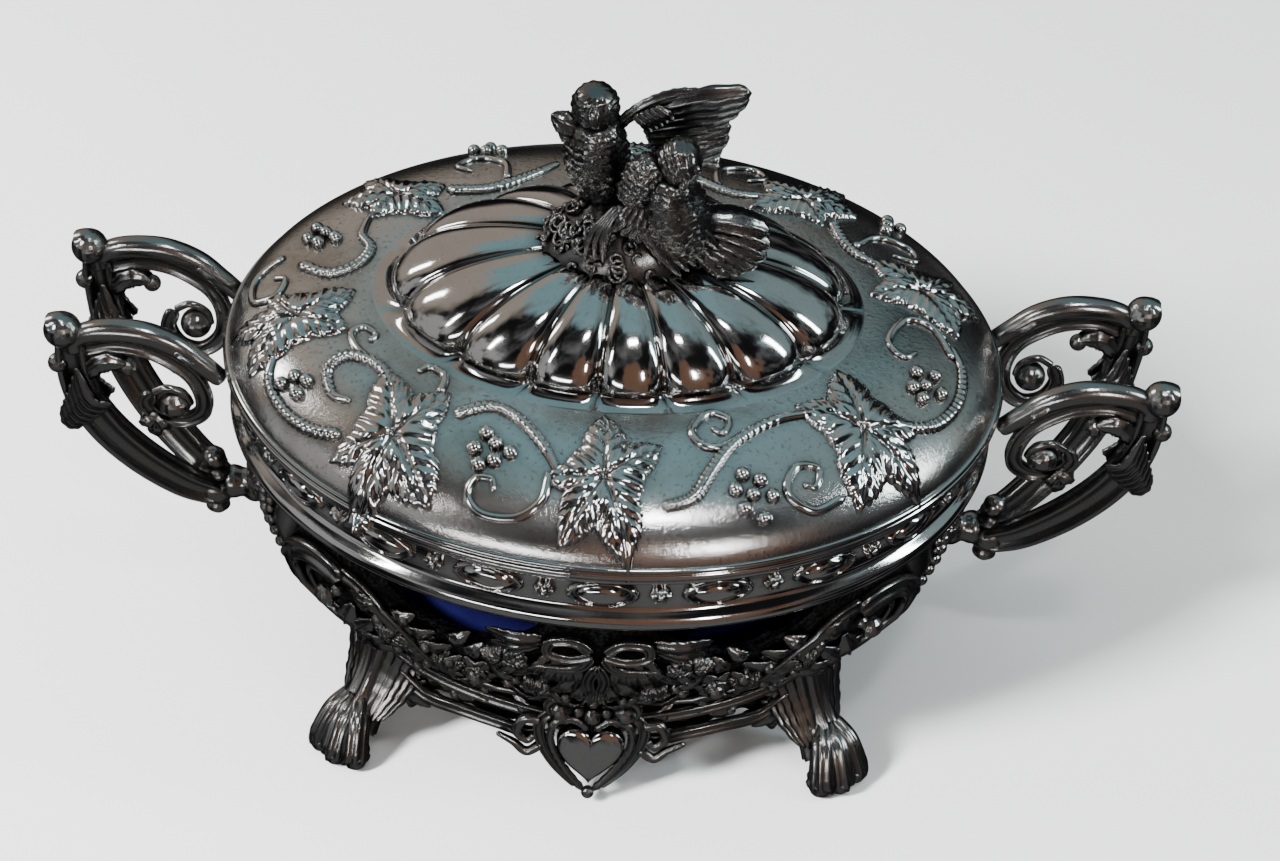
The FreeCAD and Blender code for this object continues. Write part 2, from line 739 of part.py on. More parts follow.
# Outlines of the wing and the tail: along the bowl, and up from the mound's top.
WING = [(-3, 6), (-1, 14), (5, 18.2), (20, 20.5), (17, 14), (14, 7), (4, 4)]
TAIL = [(9, 3), (17, 2), (26, -1), (25, -6), (20, -8), (13, -5), (8, -4)]


def make_finial(lid_form):
    """A flower-strewn mound on the lid's crown, with two birds perched on it."""
    crown = "rim_height + border_rise + dome_rise"
    sections = []
    for i, (share, rise) in enumerate(MOUND):
        ring = doc.addObject("Part::Ellipse", f"mound_{i}")
        bind(ring, MajorRadius=f"mound_half_length * {share}", MinorRadius=f"mound_half_width * {share}",
             Placement__Base__z=f"{crown} + mound_rise * {rise}")
        sections.append(ring)
    mound = cut("mound", loft("mound_full", sections), lid_form)
    node(mound, "finial_mound")
    top = size("rim_height") + size("border_rise") + size("dome_rise") + size("mound_rise")
    make_back_bird(top, mound)
    make_front_bird(top, mound)


def feathered_plate(name, outline, top, across, thickness):
    """A flat wing or tail with its thickness along Y, from its front face's place across."""
    corners = [Vector(x, across, top + z) for x, z in outline]
    face = Part.Face(Part.makePolygon(corners + corners[:1]))
    plate = doc.addObject("Part::Feature", name)
    plate.Shape = face.extrude(Vector(0, thickness, 0))
    return plate


def make_back_bird(top, mound):
    """The bird at the back, upright with its wings half open."""
    lean = Rotation(Vector(0, 1, 0), -6)
    body = ellipsoid("back_bird_body", (5.6, 5.2, 10.5), (-5.5, 3.5, top + 7), lean)
    head = ellipsoid("back_bird_head", (4, 3.8, 4.3), (-6.5, 3, top + 18))
    beak = doc.addObject("Part::Cone", "back_bird_beak")
    beak.Radius1, beak.Radius2, beak.Height = 2, 0.5, 8
    beak.Placement = Placement(Vector(-8, 1.5, top + 12.5), Rotation(Vector(0, 1, 0), -100))
    wing = feathered_plate("back_bird_wing", WING, top, across=4.5, thickness=2.2)
    bird = fuse("back_bird_pieces", [body, head, beak, wing])
    node(cut("back_bird", bird, mound), "bird_back")


def make_front_bird(top, mound):
    """The bird at the front, leaning over with its fanned tail to the right."""
    lean = Rotation(Vector(0, 1, 0), -18)
    body = ellipsoid("front_bird_body", (6.4, 5.4, 9.5), (6.5, -4, top + 3), lean)
    head = ellipsoid("front_bird_head", (4.8, 3.9, 3.9), (8.5, -4, top + 12))
    tail = feathered_plate("front_bird_tail", TAIL, top, across=-4.5, thickness=3)
    bird = cut("front_bird_seat", fuse("front_bird_pieces", [body, head, tail]), mound)
    node(cut("front_bird", bird, doc.getObject("back_bird")), "bird_front")


# ---------------------------------------------------------------- build and write
make_collar()
make_collar_ornament()
make_basket()
make_base()
make_feet()
make_hearts()
make_handles()
make_liner()
lid_form = make_lid()
make_fixing()
make_finial(lid_form)
doc.recompute()

for thing in doc.Objects:
    if "Invalid" in thing.State or "Error" in thing.State:
        raise RuntimeError(f"{thing.Label} failed: {thing.State}")

os.makedirs("parts", exist_ok=True)
for thing in NODES:
    shape = thing.Shape
    if shape.isNull() or not shape.isValid() or not shape.Solids:
        raise RuntimeError(f"{thing.Label} has no valid solid")
    shape.exportStep(f"parts/{thing.Label}.step")
    print(f"{thing.Label}: {len(shape.Solids)} solid(s), {shape.Volume:.0f} mm3")
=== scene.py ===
# %% [markdown]
# # An oval silver sugar bowl
# The bowl is a piece of Victorian table silver: a raised lid with a gadrooned dome and a
# vine chased round its border, two birds for a knob, a pierced cast basket on four feet,
# scrolled handles and a loose cobalt glass. The working parts come from a CAD model. They
# are loaded first and stay where they are; the silversmith's ornament is built on them here.

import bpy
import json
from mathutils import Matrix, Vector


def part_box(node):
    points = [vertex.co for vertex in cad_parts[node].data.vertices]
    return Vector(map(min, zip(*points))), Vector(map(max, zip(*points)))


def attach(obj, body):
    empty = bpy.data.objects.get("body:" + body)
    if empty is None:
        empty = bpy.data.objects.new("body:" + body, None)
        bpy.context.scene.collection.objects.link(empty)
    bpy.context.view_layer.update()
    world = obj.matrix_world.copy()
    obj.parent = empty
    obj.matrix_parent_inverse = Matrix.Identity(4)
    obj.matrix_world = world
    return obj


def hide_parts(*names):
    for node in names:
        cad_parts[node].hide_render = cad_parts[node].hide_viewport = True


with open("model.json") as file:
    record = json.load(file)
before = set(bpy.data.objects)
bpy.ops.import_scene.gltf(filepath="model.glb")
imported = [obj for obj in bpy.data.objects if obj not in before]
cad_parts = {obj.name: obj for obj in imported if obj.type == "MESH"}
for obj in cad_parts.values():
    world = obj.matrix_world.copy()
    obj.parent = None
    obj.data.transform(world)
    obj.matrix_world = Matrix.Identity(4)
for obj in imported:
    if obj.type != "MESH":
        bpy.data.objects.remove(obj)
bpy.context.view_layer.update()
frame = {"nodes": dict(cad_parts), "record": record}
print("parts in the frame:", len(frame["nodes"]))

# %% Blender's modules, and the lengths that everything else is worked out from
import json
import math
import random

import bpy
from mathutils import Matrix, Vector, noise

MM = 0.001
MERGED = 0.002 * MM
PROBE = 0.05 * MM
lip_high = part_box("collar_lip")[1]
LIP_INSET = 0.3 * MM
LONG = lip_high.x + LIP_INSET
WIDE = lip_high.y + LIP_INSET
JOINT = lip_high.z
print("half oval where lid meets collar, mm:", round(LONG / MM, 2), round(WIDE / MM, 2))

# %% [markdown]
# ## Helpers
# An operator works on everything that is selected, so each helper first selects only its
# own piece. A copy gets its own mesh, and a piece's place is always put into its mesh.

# %% Select, tidy, join and copy pieces
def alone(*pieces):
    """Selects only these pieces, the last one active."""
    bpy.ops.object.select_all(action="DESELECT")
    for piece in pieces:
        piece.select_set(True)
    bpy.context.view_layer.objects.active = pieces[-1]


def tidied(piece):
    """Merges points that met, turns the faces outward and shades the piece smooth."""
    alone(piece)
    bpy.ops.object.mode_set(mode="EDIT")
    bpy.ops.mesh.select_all(action="SELECT")
    bpy.ops.mesh.remove_doubles(threshold=MERGED)
    bpy.ops.mesh.normals_make_consistent(inside=False)
    bpy.ops.object.mode_set(mode="OBJECT")
    bpy.ops.object.shade_smooth()
    return piece


def joined(name, pieces):
    """Joins pieces into one object under this name."""
    alone(*pieces)
    bpy.ops.object.join()
    piece = bpy.context.object
    piece.name = piece.data.name = name
    return piece


def copied(piece, name, matrix=Matrix.Identity(4)):
    """A copy with its own mesh, moved by a matrix; a mirrored copy keeps its faces outward."""
    copy = bpy.data.objects.new(name, piece.data.copy())
    bpy.context.scene.collection.objects.link(copy)
    copy.data.transform(matrix)
    if matrix.determinant() < 0:
        copy.data.flip_normals()
    return copy


def placed(piece):
    """Puts the object at the origin and its place into its mesh."""
    alone(piece)
    bpy.ops.object.transform_apply(location=True, rotation=True, scale=True)
    return piece


# %% [markdown]
# Most of the silver is sheet or bar. A sheet starts as a grid primitive, and each of its
# points is moved to its place in the form, as a smith moves a disc of metal with a hammer.

# %% A grid whose points are moved into a form
def moved_grid(name, columns, rows, place):
    """A grid of squares; place(u, v) says where the point at shares u and v of it goes."""
    bpy.ops.object.select_all(action="DESELECT")
    bpy.ops.mesh.primitive_grid_add(x_subdivisions=columns, y_subdivisions=rows, size=1)
    piece = bpy.context.object
    piece.name = piece.data.name = name
    for point in piece.data.vertices:
        point.co = place(point.co.x + 0.5, point.co.y + 0.5)
    return tidied(piece)


# %% [markdown]
# Scrolls and stems follow a line through a few chosen places. The line could be a curve
# object, but a list of points can also be laid on another piece's surface.

# %% Smooth lines and spirals
def curve_through(points, steps):
    """A smooth line through points, with this many steps to each stretch."""
    points = [Vector(point) for point in points]
    ends = [points[0] * 2 - points[1], *points, points[-1] * 2 - points[-2]]
    line = []
    for a, b, c, d in zip(ends, ends[1:], ends[2:], ends[3:]):
        for step in range(steps):
            t = step / steps
            line.append(0.5 * (2 * b + (c - a) * t + (2 * a - 5 * b + 4 * c - d) * t ** 2
                               + (3 * b - a - 3 * c + d) * t ** 3))
    return line + [points[-1]]


def spiral(centre, radii, angles, steps=24):
    """Flat points that turn about a centre, from one radius and angle to the other."""
    line = []
    for step in range(steps + 1):
        t = step / steps
        radius = radii[0] + (radii[1] - radii[0]) * t
        angle = math.radians(angles[0] + (angles[1] - angles[0]) * t)
        line.append((centre[0] + radius * math.cos(angle), centre[1] + radius * math.sin(angle)))
    return line


# %% [markdown]
# A bar is a grid rolled up round a line. Its section stays square to the line and is scaled
# along it, so one function makes wires, straps, feathers and toes.

# %% A bar of one section along a line
ROUND = [(math.cos(a * math.pi / 6), math.sin(a * math.pi / 6)) for a in range(12)]


def blunt(t, share=0.04):
    """Goes quickly from 0 to 1 at both ends, so that a bar ends in a rounded tip."""
    nearest = min(t, 1 - t) / share
    return 1.0 if nearest >= 1 else math.sqrt(max(0.0, 1 - (1 - nearest) ** 2))


def swept(name, line, section, thickness, up):
    """A bar along a line; thickness(t) scales its section, up is one direction or a list."""
    last = len(line) - 1
    ups = up if isinstance(up, list) else [Vector(up)] * len(line)
    frames = []
    for i, point in enumerate(line):
        ahead = (line[min(i + 1, last)] - line[max(i - 1, 0)]).normalized()
        side = ahead.cross(ups[i]).normalized()
        frames.append((point, side, side.cross(ahead), thickness(i / last) * blunt(i / last)))

    def place(u, v):
        point, side, above, scale = frames[round(v * last)]
        x, y = section[round(u * len(section)) % len(section)]
        return point + (side * x + above * y) * scale

    return moved_grid(name, len(section), last, place)


# %% [markdown]
# Ornament was cast or stamped flat and then bent to the body. Here a flat piece is laid on
# any surface that is given as a function of two flat coordinates.

# %% Lay a flat ornament on a curved surface
def surface_frame(surface, x, y):
    """A surface's point at flat coordinates, and its outward direction there."""
    point = surface(x, y)
    normal = (surface(x + PROBE, y) - point).cross(surface(x, y + PROBE) - point)
    return point, normal.normalized()


def laid(piece, surface, at, turn=0.0, lift=0.0):
    """Bends a flat piece onto a surface, with its origin at a place and turned in degrees."""
    spin = Matrix.Rotation(math.radians(turn), 2)
    for point in piece.data.vertices:
        flat = spin @ point.co.xy + Vector(at)
        foot, normal = surface_frame(surface, flat.x, flat.y)
        point.co = foot + normal * (point.co.z + lift)
    return piece


def laid_bar(name, surface, points, section, thickness, lift=0.0):
    """A bar that follows flat points over a surface, standing off it by a lift."""
    spots = [surface_frame(surface, x, y) for x, y in points]
    line = [point + normal * lift for point, normal in spots]
    return swept(name, line, section, thickness, [normal for _, normal in spots])



# %% [markdown]
# ## The finishes
# A material's pattern is arithmetic on numbers that vary over the surface, so a small class
# lets the Math nodes be written as plain expressions. Silver's look comes from three things:
# black in the recesses, which is sulphide and also painted shade, polish on what stands
# proud, and a fine grain.

# %% Shader arithmetic
class Value:
    """A socket in a material: each operator on it adds the Math node that it needs."""

    def __init__(self, recipe, socket):
        self.recipe = recipe
        self.socket = socket

    def math(self, operation, *values, clamp=False):
        settings = {"operation": operation, "use_clamp": clamp}
        return self.recipe.node("ShaderNodeMath", settings, dict(enumerate(values)))

    def __add__(self, other):
        return self.math("ADD", self, other)

    def __sub__(self, other):
        return self.math("SUBTRACT", self, other)

    def __rsub__(self, other):
        return self.math("SUBTRACT", other, self)

    def __mul__(self, other):
        return self.math("MULTIPLY", self, other)

    def __pow__(self, other):
        return self.math("POWER", self, other)

    __radd__ = __add__
    __rmul__ = __mul__

    def clamped(self):
        return self.math("ADD", self, 0.0, clamp=True)

    def between(self, low, high):
        """0 below low, 1 above high, and straight in between."""
        settings = {"clamp": True}
        inputs = {"Value": self, "From Min": low, "From Max": high}
        return self.recipe.node("ShaderNodeMapRange", settings, inputs)


class Recipe:
    """A material in the making, with its Principled shader."""

    def __init__(self, name, **constants):
        self.material = bpy.data.materials.new(name)
        self.material.use_nodes = True
        self.tree = self.material.node_tree
        self.shader = self.tree.nodes["Principled BSDF"]
        for socket, value in constants.items():
            self.shader.inputs[socket.replace("_", " ")].default_value = value
        self.place = self.node("ShaderNodeTexCoord", {}, {}, "Object")

    def node(self, kind, settings, inputs, output=0):
        """Adds a node, sets it up, gives its sockets values or links, and returns an output."""
        made = self.tree.nodes.new(kind)
        for name, value in settings.items():
            setattr(made, name, value)
        for name, value in inputs.items():
            if isinstance(value, Value):
                self.tree.links.new(value.socket, made.inputs[name])
            else:
                made.inputs[name].default_value = value
        return Value(self, made.outputs[output])

    def noise(self, size, detail=3.0, roughness=0.6, distortion=0.0):
        """Noise between 0 and 1 whose blotches are about this many metres across."""
        inputs = {"Vector": self.place, "Scale": 1 / size, "Detail": detail,
                  "Roughness": roughness, "Distortion": distortion}
        return self.node("ShaderNodeTexNoise", {}, inputs, 0)

    def open_space(self, distance, power):
        """1 where the surface is open and near 0 in recesses narrower than the distance."""
        inputs = {"Distance": distance}
        shade = self.node("ShaderNodeAmbientOcclusion", {"samples": 6}, inputs, "AO")
        return shade ** power

    def mixed(self, share, low, high):
        """A colour between two, or between a colour and another node's."""
        made = self.tree.nodes.new("ShaderNodeMix")
        made.data_type = "RGBA"
        for index, value in ((0, share), (6, low), (7, high)):
            if isinstance(value, Value):
                self.tree.links.new(value.socket, made.inputs[index])
            else:
                made.inputs[index].default_value = value
        return Value(self, made.outputs[2])

    def bumps(self, height, distance, strength=1.0):
        """A normal from a height that varies from 0 to 1 over this many metres."""
        inputs = {"Height": height, "Distance": distance, "Strength": strength}
        return self.node("ShaderNodeBump", {}, inputs)

    def done(self, **links):
        """Links varying values to the shader's sockets and returns the material."""
        for name, value in links.items():
            self.tree.links.new(value.socket, self.shader.inputs[name.replace("_", " ")])
        return self.material


def grey(level, warmth=0.0):
    """A grey with a little red added and blue taken away for warmth."""
    return (level * (1 + warmth), level, level * (1 - warmth), 1.0)


# %% [markdown]
# ### Cast silver
# Castings keep the skin of the mould: fine grains, black recesses, and a mirror only on the
# high places that a hand has rubbed. The ambient occlusion node finds the recesses; their
# black is oxide and painted shade together.

# %% Cast silver
def cast_silver(name, recess, depth, bright):
    """Oxidised cast silver with painted shade; recess is how wide a hollow is still blackened."""
    metal = Recipe(name, Metallic=1.0)
    openness = metal.open_space(recess, depth)
    blotches = metal.noise(6 * MM, 4)
    grain = metal.noise(0.35 * MM, 2)
    # Open places stay bright; recesses take the near black grey(0.012), which is oxide and painted shade.
    rubbed_and_unshaded = (openness * (0.55 + 0.6 * blotches)).clamped()
    tint = metal.mixed(blotches.between(0.35, 0.7), grey(bright, 0.05), grey(bright * 0.82, -0.03))
    colour = metal.mixed(rubbed_and_unshaded, grey(0.012), tint)
    roughness = 0.34 - 0.2 * rubbed_and_unshaded + 0.08 * grain
    normal = metal.bumps(grain + 2.0 * blotches, 0.03 * MM, 0.6)
    return metal.done(Base_Color=colour, Roughness=roughness, Normal=normal)


CAST = cast_silver("cast_silver_dark", 2.6 * MM, 1.7, 0.5)
FINIAL = cast_silver("cast_silver_finial", 2.0 * MM, 2.2, 0.32)


def matted_ground():
    """The flat ground between ornaments, darkened with oxide and with painted shade in recesses, and dotted
    all over with a small punch.
    """
    metal = Recipe("cast_silver_ground", Metallic=1.0)
    openness = metal.open_space(4 * MM, 2.0)
    dots = metal.noise(0.8 * MM, 1)
    blotches = metal.noise(7 * MM, 3)
    # Worn open spots are lighter; the brownish black elsewhere is oxide, and in recesses it is painted shade
    # too.
    worn_and_unshaded = (openness * blotches.between(0.3, 0.8) * dots.between(0.4, 0.65)).clamped()
    colour = metal.mixed(worn_and_unshaded, grey(0.02, 0.1), grey(0.3))
    roughness = 0.5 - 0.15 * worn_and_unshaded
    return metal.done(Base_Color=colour, Roughness=roughness, Normal=metal.bumps(dots, 0.16 * MM))


GROUND = matted_ground()

# %% [markdown]
# ### Raised sheet silver
# The lid is sheet metal that was hammered, chased and then rubbed with wet pumice, so its
# border has a soft grain, brownish tarnish, and black near the relief that is oxide and
# painted shade. The dome, the wires and the collar were burnished, and are mirrors with a
# few scratches.

# %% Sheet silver in two degrees of polish
def sheet_silver(name, polish, grain_depth, tarnish, recess=2.2 * MM, depth=1.3):
    """Sheet silver: polish is its lowest roughness, tarnish how brown its blotches are."""
    metal = Recipe(name, Metallic=1.0)
    openness = metal.open_space(recess, depth)
    clouds = metal.noise(22 * MM, 5, 0.65, 0.4)
    pits = metal.noise(0.9 * MM, 3)
    scratches = metal.noise(0.25 * MM, 2)
    stained = clouds.between(0.42, 0.68) * tarnish
    silver = metal.mixed(stained, grey(0.78, 0.01), grey(0.42, 0.12))
    spotted = metal.mixed((pits.between(0.56, 0.75) * tarnish).clamped(), silver, grey(0.3, 0.1))
    # Recesses turn near black, grey(0.01): oxide and painted shade.
    colour = metal.mixed(openness.clamped(), grey(0.01), spotted)
    roughness = polish + 0.1 * stained + 0.09 * pits * tarnish + 0.03 * scratches
    normal = metal.bumps(pits + 0.5 * scratches, grain_depth)
    return metal.done(Base_Color=colour, Roughness=roughness, Normal=normal)


# Each finish blackens hollows narrower than its recess width with oxide and painted shade; the lobed dome's
# wide setting darkens the grooves between its lobes.
SATIN = sheet_silver("sheet_silver_satin", 0.13, 0.035 * MM, 0.8)
BURNISHED = sheet_silver("sheet_silver_burnished", 0.06, 0.006 * MM, 0.22)
CHASED = sheet_silver("sheet_silver_chased", 0.09, 0.012 * MM, 0.25, 1.1 * MM, 1.5)
LOBED = sheet_silver("sheet_silver_lobed", 0.06, 0.006 * MM, 0.22, 4.0 * MM, 2.4)

# %% [markdown]
# ### Cobalt glass
# The liner is thick blown glass, so deep a blue that it looks black except where light
# passes through its rim. A few seeds and a slow waviness show that it was blown.

# %% Cobalt glass
def cobalt_glass():
    glass = Recipe("cobalt_glass_blown", IOR=1.52, Transmission_Weight=0.12)
    wave = glass.noise(14 * MM, 2)
    seeds = glass.noise(1.1 * MM, 1)
    colour = glass.mixed(wave, (0.004, 0.004, 0.03, 1), (0.014, 0.012, 0.085, 1))
    roughness = 0.03 + 0.05 * seeds.between(0.6, 0.8)
    normal = glass.bumps(wave + 0.06 * seeds, 0.35 * MM)
    return glass.done(Base_Color=colour, Roughness=roughness, Normal=normal)


GLASS = cobalt_glass()
print("finishes:", [m.name for m in (CAST, FINIAL, SATIN, BURNISHED, CHASED, LOBED, GLASS)])


# %% [markdown]
# ### Dressing a piece
# Each finished piece gets its material, rides on a body of the working model and says which
# plain parts it stands for, so that those are hidden under it.

# %% Dress a piece in a finish
def dressed(piece, finish):
    piece.data.materials.clear()
    piece.data.materials.append(finish)
    return piece


SLOTS = {part["node"]: part["material_slot"] for part in frame["record"]["subparts"]}


def finished(piece, body, slot, finish, *stands_for):
    """Gives a piece its finish, its body and the CAD parts that it stands for; slot is not used."""
    dressed(piece, finish)
    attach(piece, body)
    if stands_for:
        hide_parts(*stands_for)
    triangles = sum(len(face.vertices) - 2 for face in piece.data.polygons)
    print(f"{piece.name}: {triangles} triangles on {body}")
    return piece

# %% [markdown]
# ## The lid
# The lid is one sheet raised from a flat oval: a broad border that turns down steeply to its
# edge, and a dome of fifteen lobes, called gadroons. Here it is one grid that runs round the
# oval and up to the crown. The lobes are even in angle as seen from above, so they are wide
# at the ends of the oval and narrow along its sides.

# %% The border's form
BORDER_WIDTH = 29.5 * MM
BORDER_RISE = 12.8 * MM
DOME_INSET = 31.2 * MM
LID_WALL = 0.9 * MM
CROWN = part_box("lid_shell")[1].z
DOME_RISE = CROWN - JOINT - BORDER_RISE
ROUNDING = 2.6
SHOULDER = 0.53
DEEPEST = 45 * MM


def border_height(inset):
    """The border's height over the joint, at an inset from the joint oval."""
    outward = min(1.0, max(0.0, (BORDER_WIDTH - inset) / (BORDER_WIDTH - LIP_INSET)))
    return BORDER_RISE * (1 - outward ** ROUNDING) ** SHOULDER


def inset_at(x, y):
    """How far inside the joint oval a place on the lid is."""
    low, high = 0.0, DEEPEST
    for _ in range(24):
        middle = (low + high) / 2
        if (x / (LONG - middle)) ** 2 + (y / (WIDE - middle)) ** 2 < 1:
            low = middle
        else:
            high = middle
    return low


def on_border(x, y):
    """The point of the lid's border over a place in plan."""
    return Vector((x, y, JOINT + border_height(inset_at(x, y))))


# %% [markdown]
# The dome's foot is an oval like the border's, but its crown is rounder, so the grid's rows
# pass from one to the other as they climb. A lobe stands out most at its foot.

# %% The lid's sheet
LOBES = 15
LOBE_COLUMNS = 24
FIRST_GROOVE = math.radians(-96.3)
BORDER_ROWS = 40
DOME_ROWS = 52
CROWN_LONG = 12 * MM
CROWN_WIDE = 8 * MM
LOBE_REACH = 3.0 * MM
LOBE_LEVEL = 0.62


def lobe_swell(share, climb):
    """How far a lobe stands out, at a share of its width and of the climb to the crown."""
    across = abs(2 * share - 1)
    arch = (1 - across ** 2.6) ** 0.6
    reach = LOBE_REACH * min(1.0, (climb / 0.05) ** 0.5) * (1 - 0.7 * climb)
    return reach * (arch - LOBE_LEVEL)


def lid_point(u, v):
    """Round the oval with u, and from the lid's edge over the border to its crown with v."""
    around = FIRST_GROOVE + 2 * math.pi * u
    row = v * (BORDER_ROWS + DOME_ROWS)
    if row <= BORDER_ROWS:
        turn = math.pi / 2 * row / BORDER_ROWS
        inset = BORDER_WIDTH - (BORDER_WIDTH - LIP_INSET) * math.cos(turn) ** (2 / ROUNDING)
        long, wide, height = LONG - inset, WIDE - inset, border_height(inset)
        climb = swell = 0.0
    else:
        climb = (row - BORDER_ROWS) / DOME_ROWS
        foot_long, foot_wide = LONG - DOME_INSET, WIDE - DOME_INSET
        inward = climb ** 1.7
        long = foot_long + (CROWN_LONG - foot_long) * inward
        wide = foot_wide + (CROWN_WIDE - foot_wide) * inward
        height = BORDER_RISE + DOME_RISE * (1 - (1 - inward) ** 2) ** SHOULDER
        swell = lobe_swell((u * LOBES) % 1.0, climb)
    angle = math.atan2(math.sin(around) / wide, math.cos(around) / long)
    point = Vector((long * math.cos(angle), wide * math.sin(angle), JOINT + height))
    outward = Vector((math.cos(angle) / long, math.sin(angle) / wide, 0)).normalized()
    lift = Vector((0, 0, 1))
    lean = max(0.0, 1 - climb * 1.5)
    return point + (outward * lean + lift * (1 - 0.6 * lean)) * swell


lid_cover = moved_grid("lid_cover", LOBES * LOBE_COLUMNS, BORDER_ROWS + DOME_ROWS, lid_point)
alone(lid_cover)
bpy.ops.object.modifier_add(type="SOLIDIFY")
lid_cover.modifiers[-1].thickness = LID_WALL
lid_cover.modifiers[-1].offset = -1
bpy.ops.object.modifier_apply(modifier=lid_cover.modifiers[-1].name)
print("the lid's sheet has", len(lid_cover.data.polygons), "faces")

# %% [markdown]
# The lobes were burnished to a mirror after the border had been rubbed down. Two materials
# on one sheet show that: each face of the dome is given the second one.

# %% The dome is burnished and the border satin
finished(lid_cover, "lid", SLOTS["lid_shell"], SATIN, "lid_shell")
lid_cover.data.materials.append(LOBED)
dome_foot = JOINT + BORDER_RISE - 1.4 * MM
dome_edge = BORDER_WIDTH - 1.6 * MM
for face in lid_cover.data.polygons:
    x, y, z = face.center
    face.material_index = int(inset_at(x, y) > dome_edge and z > dome_foot)

# %% [markdown]
# ## Wires and collar
# A seam between two silver sheets is hidden under drawn wire, which also stiffens the edge.
# Each wire or moulding is one outline carried round the oval. The lid has a double wire; the
# collar has a flat lip for the lid, a hollow band for its ornament and a flared moulding.

# %% Mouldings round the oval
def oval_point(around, inset, height):
    """A point at an angle round an oval that lies inside the joint oval by an inset."""
    return Vector(((LONG - inset) * math.cos(around), (WIDE - inset) * math.sin(around), height))


def moulding(name, outline, columns=240):
    """A closed outline of insets and heights over the joint, in mm, carried round the oval."""
    def place(u, v):
        inset, height = outline[round(v * len(outline)) % len(outline)]
        return oval_point(2 * math.pi * u, inset * MM, JOINT + height * MM)

    return moved_grid(name, columns, len(outline), place)


LID_WIRES = [
    (2, 0.05), (0.5, 0.05), (-0.1, 0.2), (-0.36, 0.6), (-0.36, 1.0), (-0.1, 1.4), (0.3, 1.55),
    (0.1, 1.75), (0.05, 2.0), (0.2, 2.25), (0.5, 2.35), (1.0, 2.3), (2, 1.6)]
COLLAR = [
    (6, 0), (1.2, 0), (0.6, -0.15), (0.35, -0.5), (0.35, -1.1), (0.7, -1.6), (1.5, -2.0),
    (2.2, -2.5), (2.5, -3.2), (2.5, -8.6), (2.3, -9.3), (1.7, -9.9), (0.9, -10.4), (0.35, -11.1),
    (0.15, -11.9), (0.3, -12.6), (0.8, -13.1), (1.3, -13.3), (1.2, -13.6), (1.4, -14), (3.2, -14),
    (3.3, -9), (3.3, -2.2), (6, -2)]
lid_edge = moulding("lid_edge_wires", LID_WIRES)
finished(lid_edge, "lid", "sheet_silver", BURNISHED, "lid_rim_wire")
collar = moulding("collar_mouldings", COLLAR)
finished(collar, "stand", "sheet_silver", BURNISHED, "collar_lip", "collar_band", "collar_bead")


# %% [markdown]
# Ornament is spaced by length along the collar, not by angle, because an oval's angle and
# its length don't keep step. The lengths are added up once and then looked up.

# %% Walk round the collar by length
def walk_of(inset, steps=720):
    """Lengths along an oval from its front centre, and the whole way round."""
    lengths = [0.0]
    for step in range(steps):
        a = oval_point(2 * math.pi * step / steps - math.pi / 2, inset, 0)
        b = oval_point(2 * math.pi * (step + 1) / steps - math.pi / 2, inset, 0)
        lengths.append(lengths[-1] + (b - a).length)
    return lengths


def angle_at(lengths, way):
    """The angle round the oval at a length along it from its front centre."""
    way %= lengths[-1]
    low, high = 0, len(lengths) - 1
    while high - low > 1:
        middle = (low + high) // 2
        low, high = (middle, high) if lengths[middle] <= way else (low, middle)
    share = (way - lengths[low]) / (lengths[high] - lengths[low])
    return 2 * math.pi * (low + share) / (len(lengths) - 1) - math.pi / 2


BAND_INSET = 2.5 * MM
BAND_WALK = walk_of(BAND_INSET)


def on_band(way, height):
    """The point of the collar's band at a length round it and a height."""
    return oval_point(angle_at(BAND_WALK, way), BAND_INSET, height)


# %% [markdown]
# Twenty bosses sit on the band, each a long polished drop in a wire frame that is beaded
# along its lower edge. A small flower sits between each two. Each kind is modelled once,
# flat, and then bent onto the band as a jeweller bends a stamping.

# %% Bosses and flowers
BOSS_PROFILE = [(0, 1.5), (0.15, 1.48), (0.3, 1.4), (0.44, 1.24), (0.56, 0.98), (0.66, 0.6),
                (0.72, 0.15), (0.77, 0.1), (0.82, 0.6), (0.88, 0.82), (0.94, 0.6), (1.0, -0.3)]
FLOWER_PROFILE = [(0, 1.4), (0.2, 1.3), (0.34, 0.9), (0.4, 0.45), (0.6, 0.95), (0.85, 0.75), (1.0, -0.3)]
BOSSES = 20
BOSS_DROP = 5.9 * MM


def boss_point(u, v):
    """A pointed oval: polished middle, groove, frame, and edge sunk into the band."""
    angle = 2 * math.pi * u
    reach, height = BOSS_PROFILE[round(v * (len(BOSS_PROFILE) - 1))]
    beads = 0.035 * math.cos(44 * angle) if reach > 0.8 and math.sin(angle) < -0.2 else 0
    across = math.sin(angle) * abs(math.sin(angle)) ** (0.32 * reach)
    return Vector((6.5 * math.cos(angle) * (reach + beads), 3.2 * across * (reach + beads), height)) * MM


def flower_point(u, v):
    """A six-petalled flower with a round eye."""
    angle = 2 * math.pi * u
    petal = 0.78 + 0.22 * math.cos(6 * angle)
    reach, height = FLOWER_PROFILE[round(v * (len(FLOWER_PROFILE) - 1))]
    spread = reach if reach < 0.5 else reach * petal
    return Vector((2.1 * math.cos(angle) * spread, 2.1 * math.sin(angle) * spread, height)) * MM


